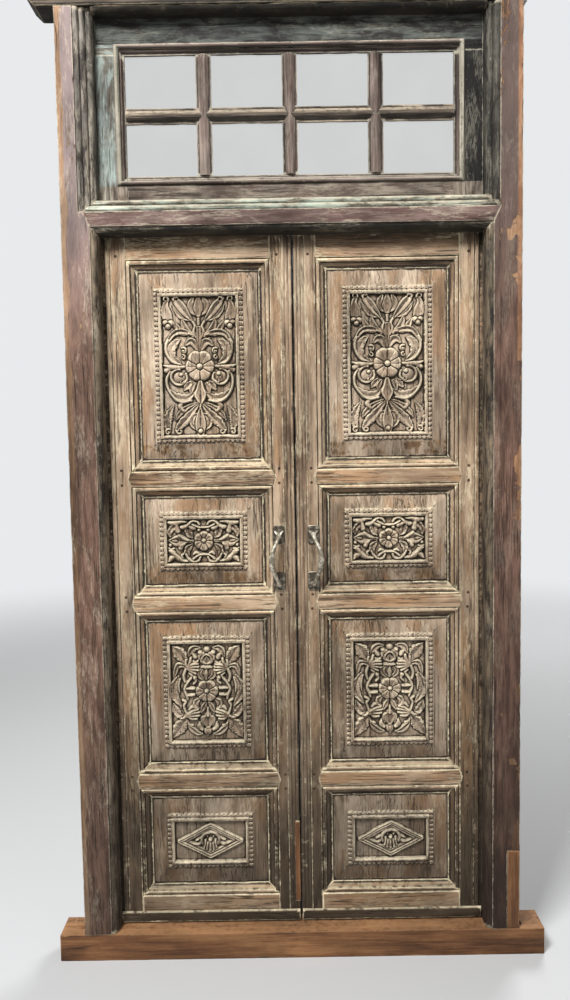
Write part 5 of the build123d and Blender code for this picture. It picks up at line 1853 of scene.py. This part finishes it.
# Depths behind the face of the painted shade and soiling along the quirks of the mouldings.
QUIRK_SHADE_AND_GRIME = ((0.0062, 0.0082), (0.0113, 0.0165))
TIMBERS = (
    Timber(
        "stile", srgb(188, 164, 138), srgb(154, 130, 106), srgb(94, 75, 58), LIMED,
        srgb(44, 36, 26), foot=0.92, face=0.012, residue=0.46, smears=0.8, warm=srgb(162, 128, 94),
        bands=(
            SHADE,
            # Painted shade in the gap between the leaves, on their meeting edges.
            Band(0, -1.0, 0.0042, srgb(26, 19, 13), srgb(48, 35, 25), mirrored=True, strength=0.92),
        ),
        lines=QUIRK_SHADE_AND_GRIME,
    ),
    Timber(
        "rail", srgb(186, 160, 132), srgb(160, 132, 105), srgb(108, 84, 62), LIMED,
        srgb(48, 38, 28), cracking=0.6, foot=0.4, face=0.012, residue=0.4, smears=0.85,
        warm=srgb(182, 142, 104), bands=(SHADE,), lines=QUIRK_SHADE_AND_GRIME,
    ),
    Timber(
        "carved", srgb(186, 166, 144), srgb(156, 135, 113), srgb(106, 88, 70), srgb(220, 206, 178),
        srgb(44, 35, 25), cracking=0.55, rubbed=0.58, soiled_and_shaded=0.95, facing_light_and_shade=1.0, foot=0.62, residue=0.34,
        warm=srgb(150, 115, 82), smears=0.45,
        bands=(
            Band(
                2, 1.466, 1.504, srgb(88, 60, 34), srgb(138, 102, 62),
                strength=0.88, soft=0.012, patchy=True,
            ),
            Band(2, 1.1, 1.128, srgb(96, 68, 42), srgb(142, 108, 70), strength=0.75, soft=0.012, patchy=True),
        ),
    ),
    Timber(
        "new_teak", srgb(146, 105, 70), srgb(118, 80, 52), srgb(82, 54, 35), srgb(160, 122, 86),
        srgb(60, 42, 30), cracking=0.4, rubbed=0.4, flecks=0.05, soiled_and_shaded=0.5, residue=0.1, smears=0.4,
    ),
    Timber(
        "left_jamb", srgb(160, 130, 104), srgb(134, 104, 78), srgb(92, 68, 50), srgb(200, 186, 164),
        srgb(40, 34, 27), foot=0.52, rubbed=0.5, flecks=0.3, residue=0.36, smears=0.7,
        paint=Paint(srgb(136, 106, 90), srgb(90, 66, 54), 0.72, 0.6205, 0.008, srgb(138, 124, 122)),
        bands=(
            Band(0, 0.0, 0.556, srgb(30, 28, 22), srgb(132, 118, 98), mirrored=True, strength=0.92),
            Band(
                0, 0.0, 0.5855, srgb(34, 31, 26), srgb(128, 122, 112),
                mirrored=True, strength=0.92, above=2.146,
            ),
        ),
    ),
    Timber(
        "right_jamb", srgb(168, 130, 98), srgb(138, 102, 74), srgb(96, 70, 52), srgb(184, 174, 154),
        srgb(42, 28, 20), foot=0.92, rubbed=0.7, flecks=0.4, residue=0.14, smears=0.8,
        paint=Paint(srgb(122, 94, 80), srgb(80, 58, 48), 0.72, 0.64, 0.05, srgb(98, 84, 78)),
        bands=(
            Band(0, 0.0, 0.556, srgb(28, 26, 22), srgb(122, 108, 88), mirrored=True, strength=0.92),
            Band(
                0, 0.0, 0.5715, srgb(22, 21, 18), srgb(84, 82, 74),
                mirrored=True, strength=0.92, above=2.146,
            ),
            Band(
                0, 0.621, 0.65, srgb(140, 98, 70), srgb(182, 138, 104),
                strength=0.85, soft=0.006, above=1.72,
            ),
        ),
    ),
    Timber(
        "bar", srgb(160, 134, 112), srgb(132, 106, 88), srgb(90, 68, 56), srgb(196, 184, 162),
        srgb(34, 30, 24), rubbed=0.6, flecks=0.5, residue=0.4, smears=0.9,
        paint=Paint(srgb(126, 106, 98), srgb(88, 66, 60), 0.72),
        bands=(
            Band(2, 2.1435, 2.3, srgb(74, 68, 56), srgb(170, 180, 164)),
            # Painted shade on the lower part and underside of the transom bar.
            Band(2, 2.0, 2.1025, srgb(28, 26, 22), srgb(84, 76, 60)),
        ),
    ),
    Timber(
        "head", srgb(92, 80, 68), srgb(60, 50, 42), srgb(34, 28, 23), srgb(150, 136, 114),
        srgb(20, 18, 15), rubbed=0.55, flecks=0.15, residue=0.1, facing_light_and_shade=0.45,
        # Painted shade on the underside of the head.
        bands=(Band(2, 2.0, 2.694, srgb(22, 19, 15), srgb(56, 50, 40)),),
    ),
    Timber(
        "sash", srgb(138, 124, 114), srgb(102, 86, 78), srgb(58, 48, 42), srgb(178, 172, 154),
        srgb(28, 24, 20), rubbed=0.6, flecks=0.4, residue=0.22,
        bands=(
            Band(0, -0.56, -0.486, srgb(84, 78, 68), srgb(150, 162, 156)),
            Band(0, 0.486, 0.56, srgb(12, 11, 9), srgb(30, 27, 24)),
            Band(2, 2.0, 2.225, srgb(84, 70, 60), srgb(158, 146, 130), strength=0.8),
            # Painted shadow of the head on the top of the sash.
            Band(2, 2.607, 3.0, srgb(32, 28, 26), srgb(88, 92, 86)),
        ),
    ),
    Timber(
        "cross", srgb(104, 92, 80), srgb(70, 60, 51), srgb(38, 32, 27), srgb(180, 166, 144),
        srgb(28, 25, 20), rubbed=0.5, flecks=0.3, residue=0.2,
    ),
    # Near-black tone of the strip in the gap between the leaves: painted shade.
    Timber(
        "gap_shade", srgb(32, 27, 22), srgb(26, 22, 18), srgb(20, 17, 14), srgb(40, 34, 28),
        srgb(16, 14, 12), cracking=0.0, rubbed=0.0, flecks=0.0, residue=0.0,
    ),
    Timber(
        "peg", srgb(92, 72, 52), srgb(62, 46, 33), srgb(40, 29, 21), srgb(100, 80, 58),
        srgb(30, 23, 17), rubbed=0.2,
    ),
)
FINISHES = {timber.name: timber for timber in TIMBERS}


def main() -> None:
    """Builds every piece in order, the setting last."""
    logging.basicConfig(level=logging.INFO, format="%(name)s: %(message)s")
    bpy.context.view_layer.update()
    groups = {
        "grain": grain_group(), "wear": wear_group(), "flake": flake_group(),
        "weather": weather_group(),
    }
    TimberWork(FINISHES, groups).build()
    CarvedPanels().build(FINISHES["carved"].material(Along.UP, groups))
    bright = Metal("worn_cast_metal", srgb(232, 226, 210), srgb(124, 115, 98), 0.5, 0.4, 90, 0.2).material()
    plate = Metal("dull_plate", srgb(164, 156, 138), srgb(66, 58, 48), 0.45, 0.5, 90, 0.5).material()
    for side in (1, -1):
        PullHandle(side).build(bright, plate)
        Pegs(side).build(FINISHES["peg"].material(Along.UP, groups))
    GapShadeStrip().build(FINISHES["gap_shade"].material(Along.UP, groups))
    dress_packed_pieces()
    Studio().build()


def dress_packed_pieces() -> None:
    """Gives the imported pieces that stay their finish: the panes and the pivots."""
    glass = Glass().material()
    iron = Metal("forged_iron", srgb(92, 86, 78), srgb(44, 40, 36), 0.75, 0.5, 120).material()
    finishes = {"sash_panes": glass}
    finishes |= {f"{s}_{e}_pivot": iron for s in ("left", "right") for e in ("lower", "upper")}
    for node, material in finishes.items():
        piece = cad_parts[node]
        piece.data.materials.clear()
        piece.data.materials.append(material)
    LOG.info("packed pieces: %s", ", ".join(finishes))


if __name__ == "__main__":
    main()
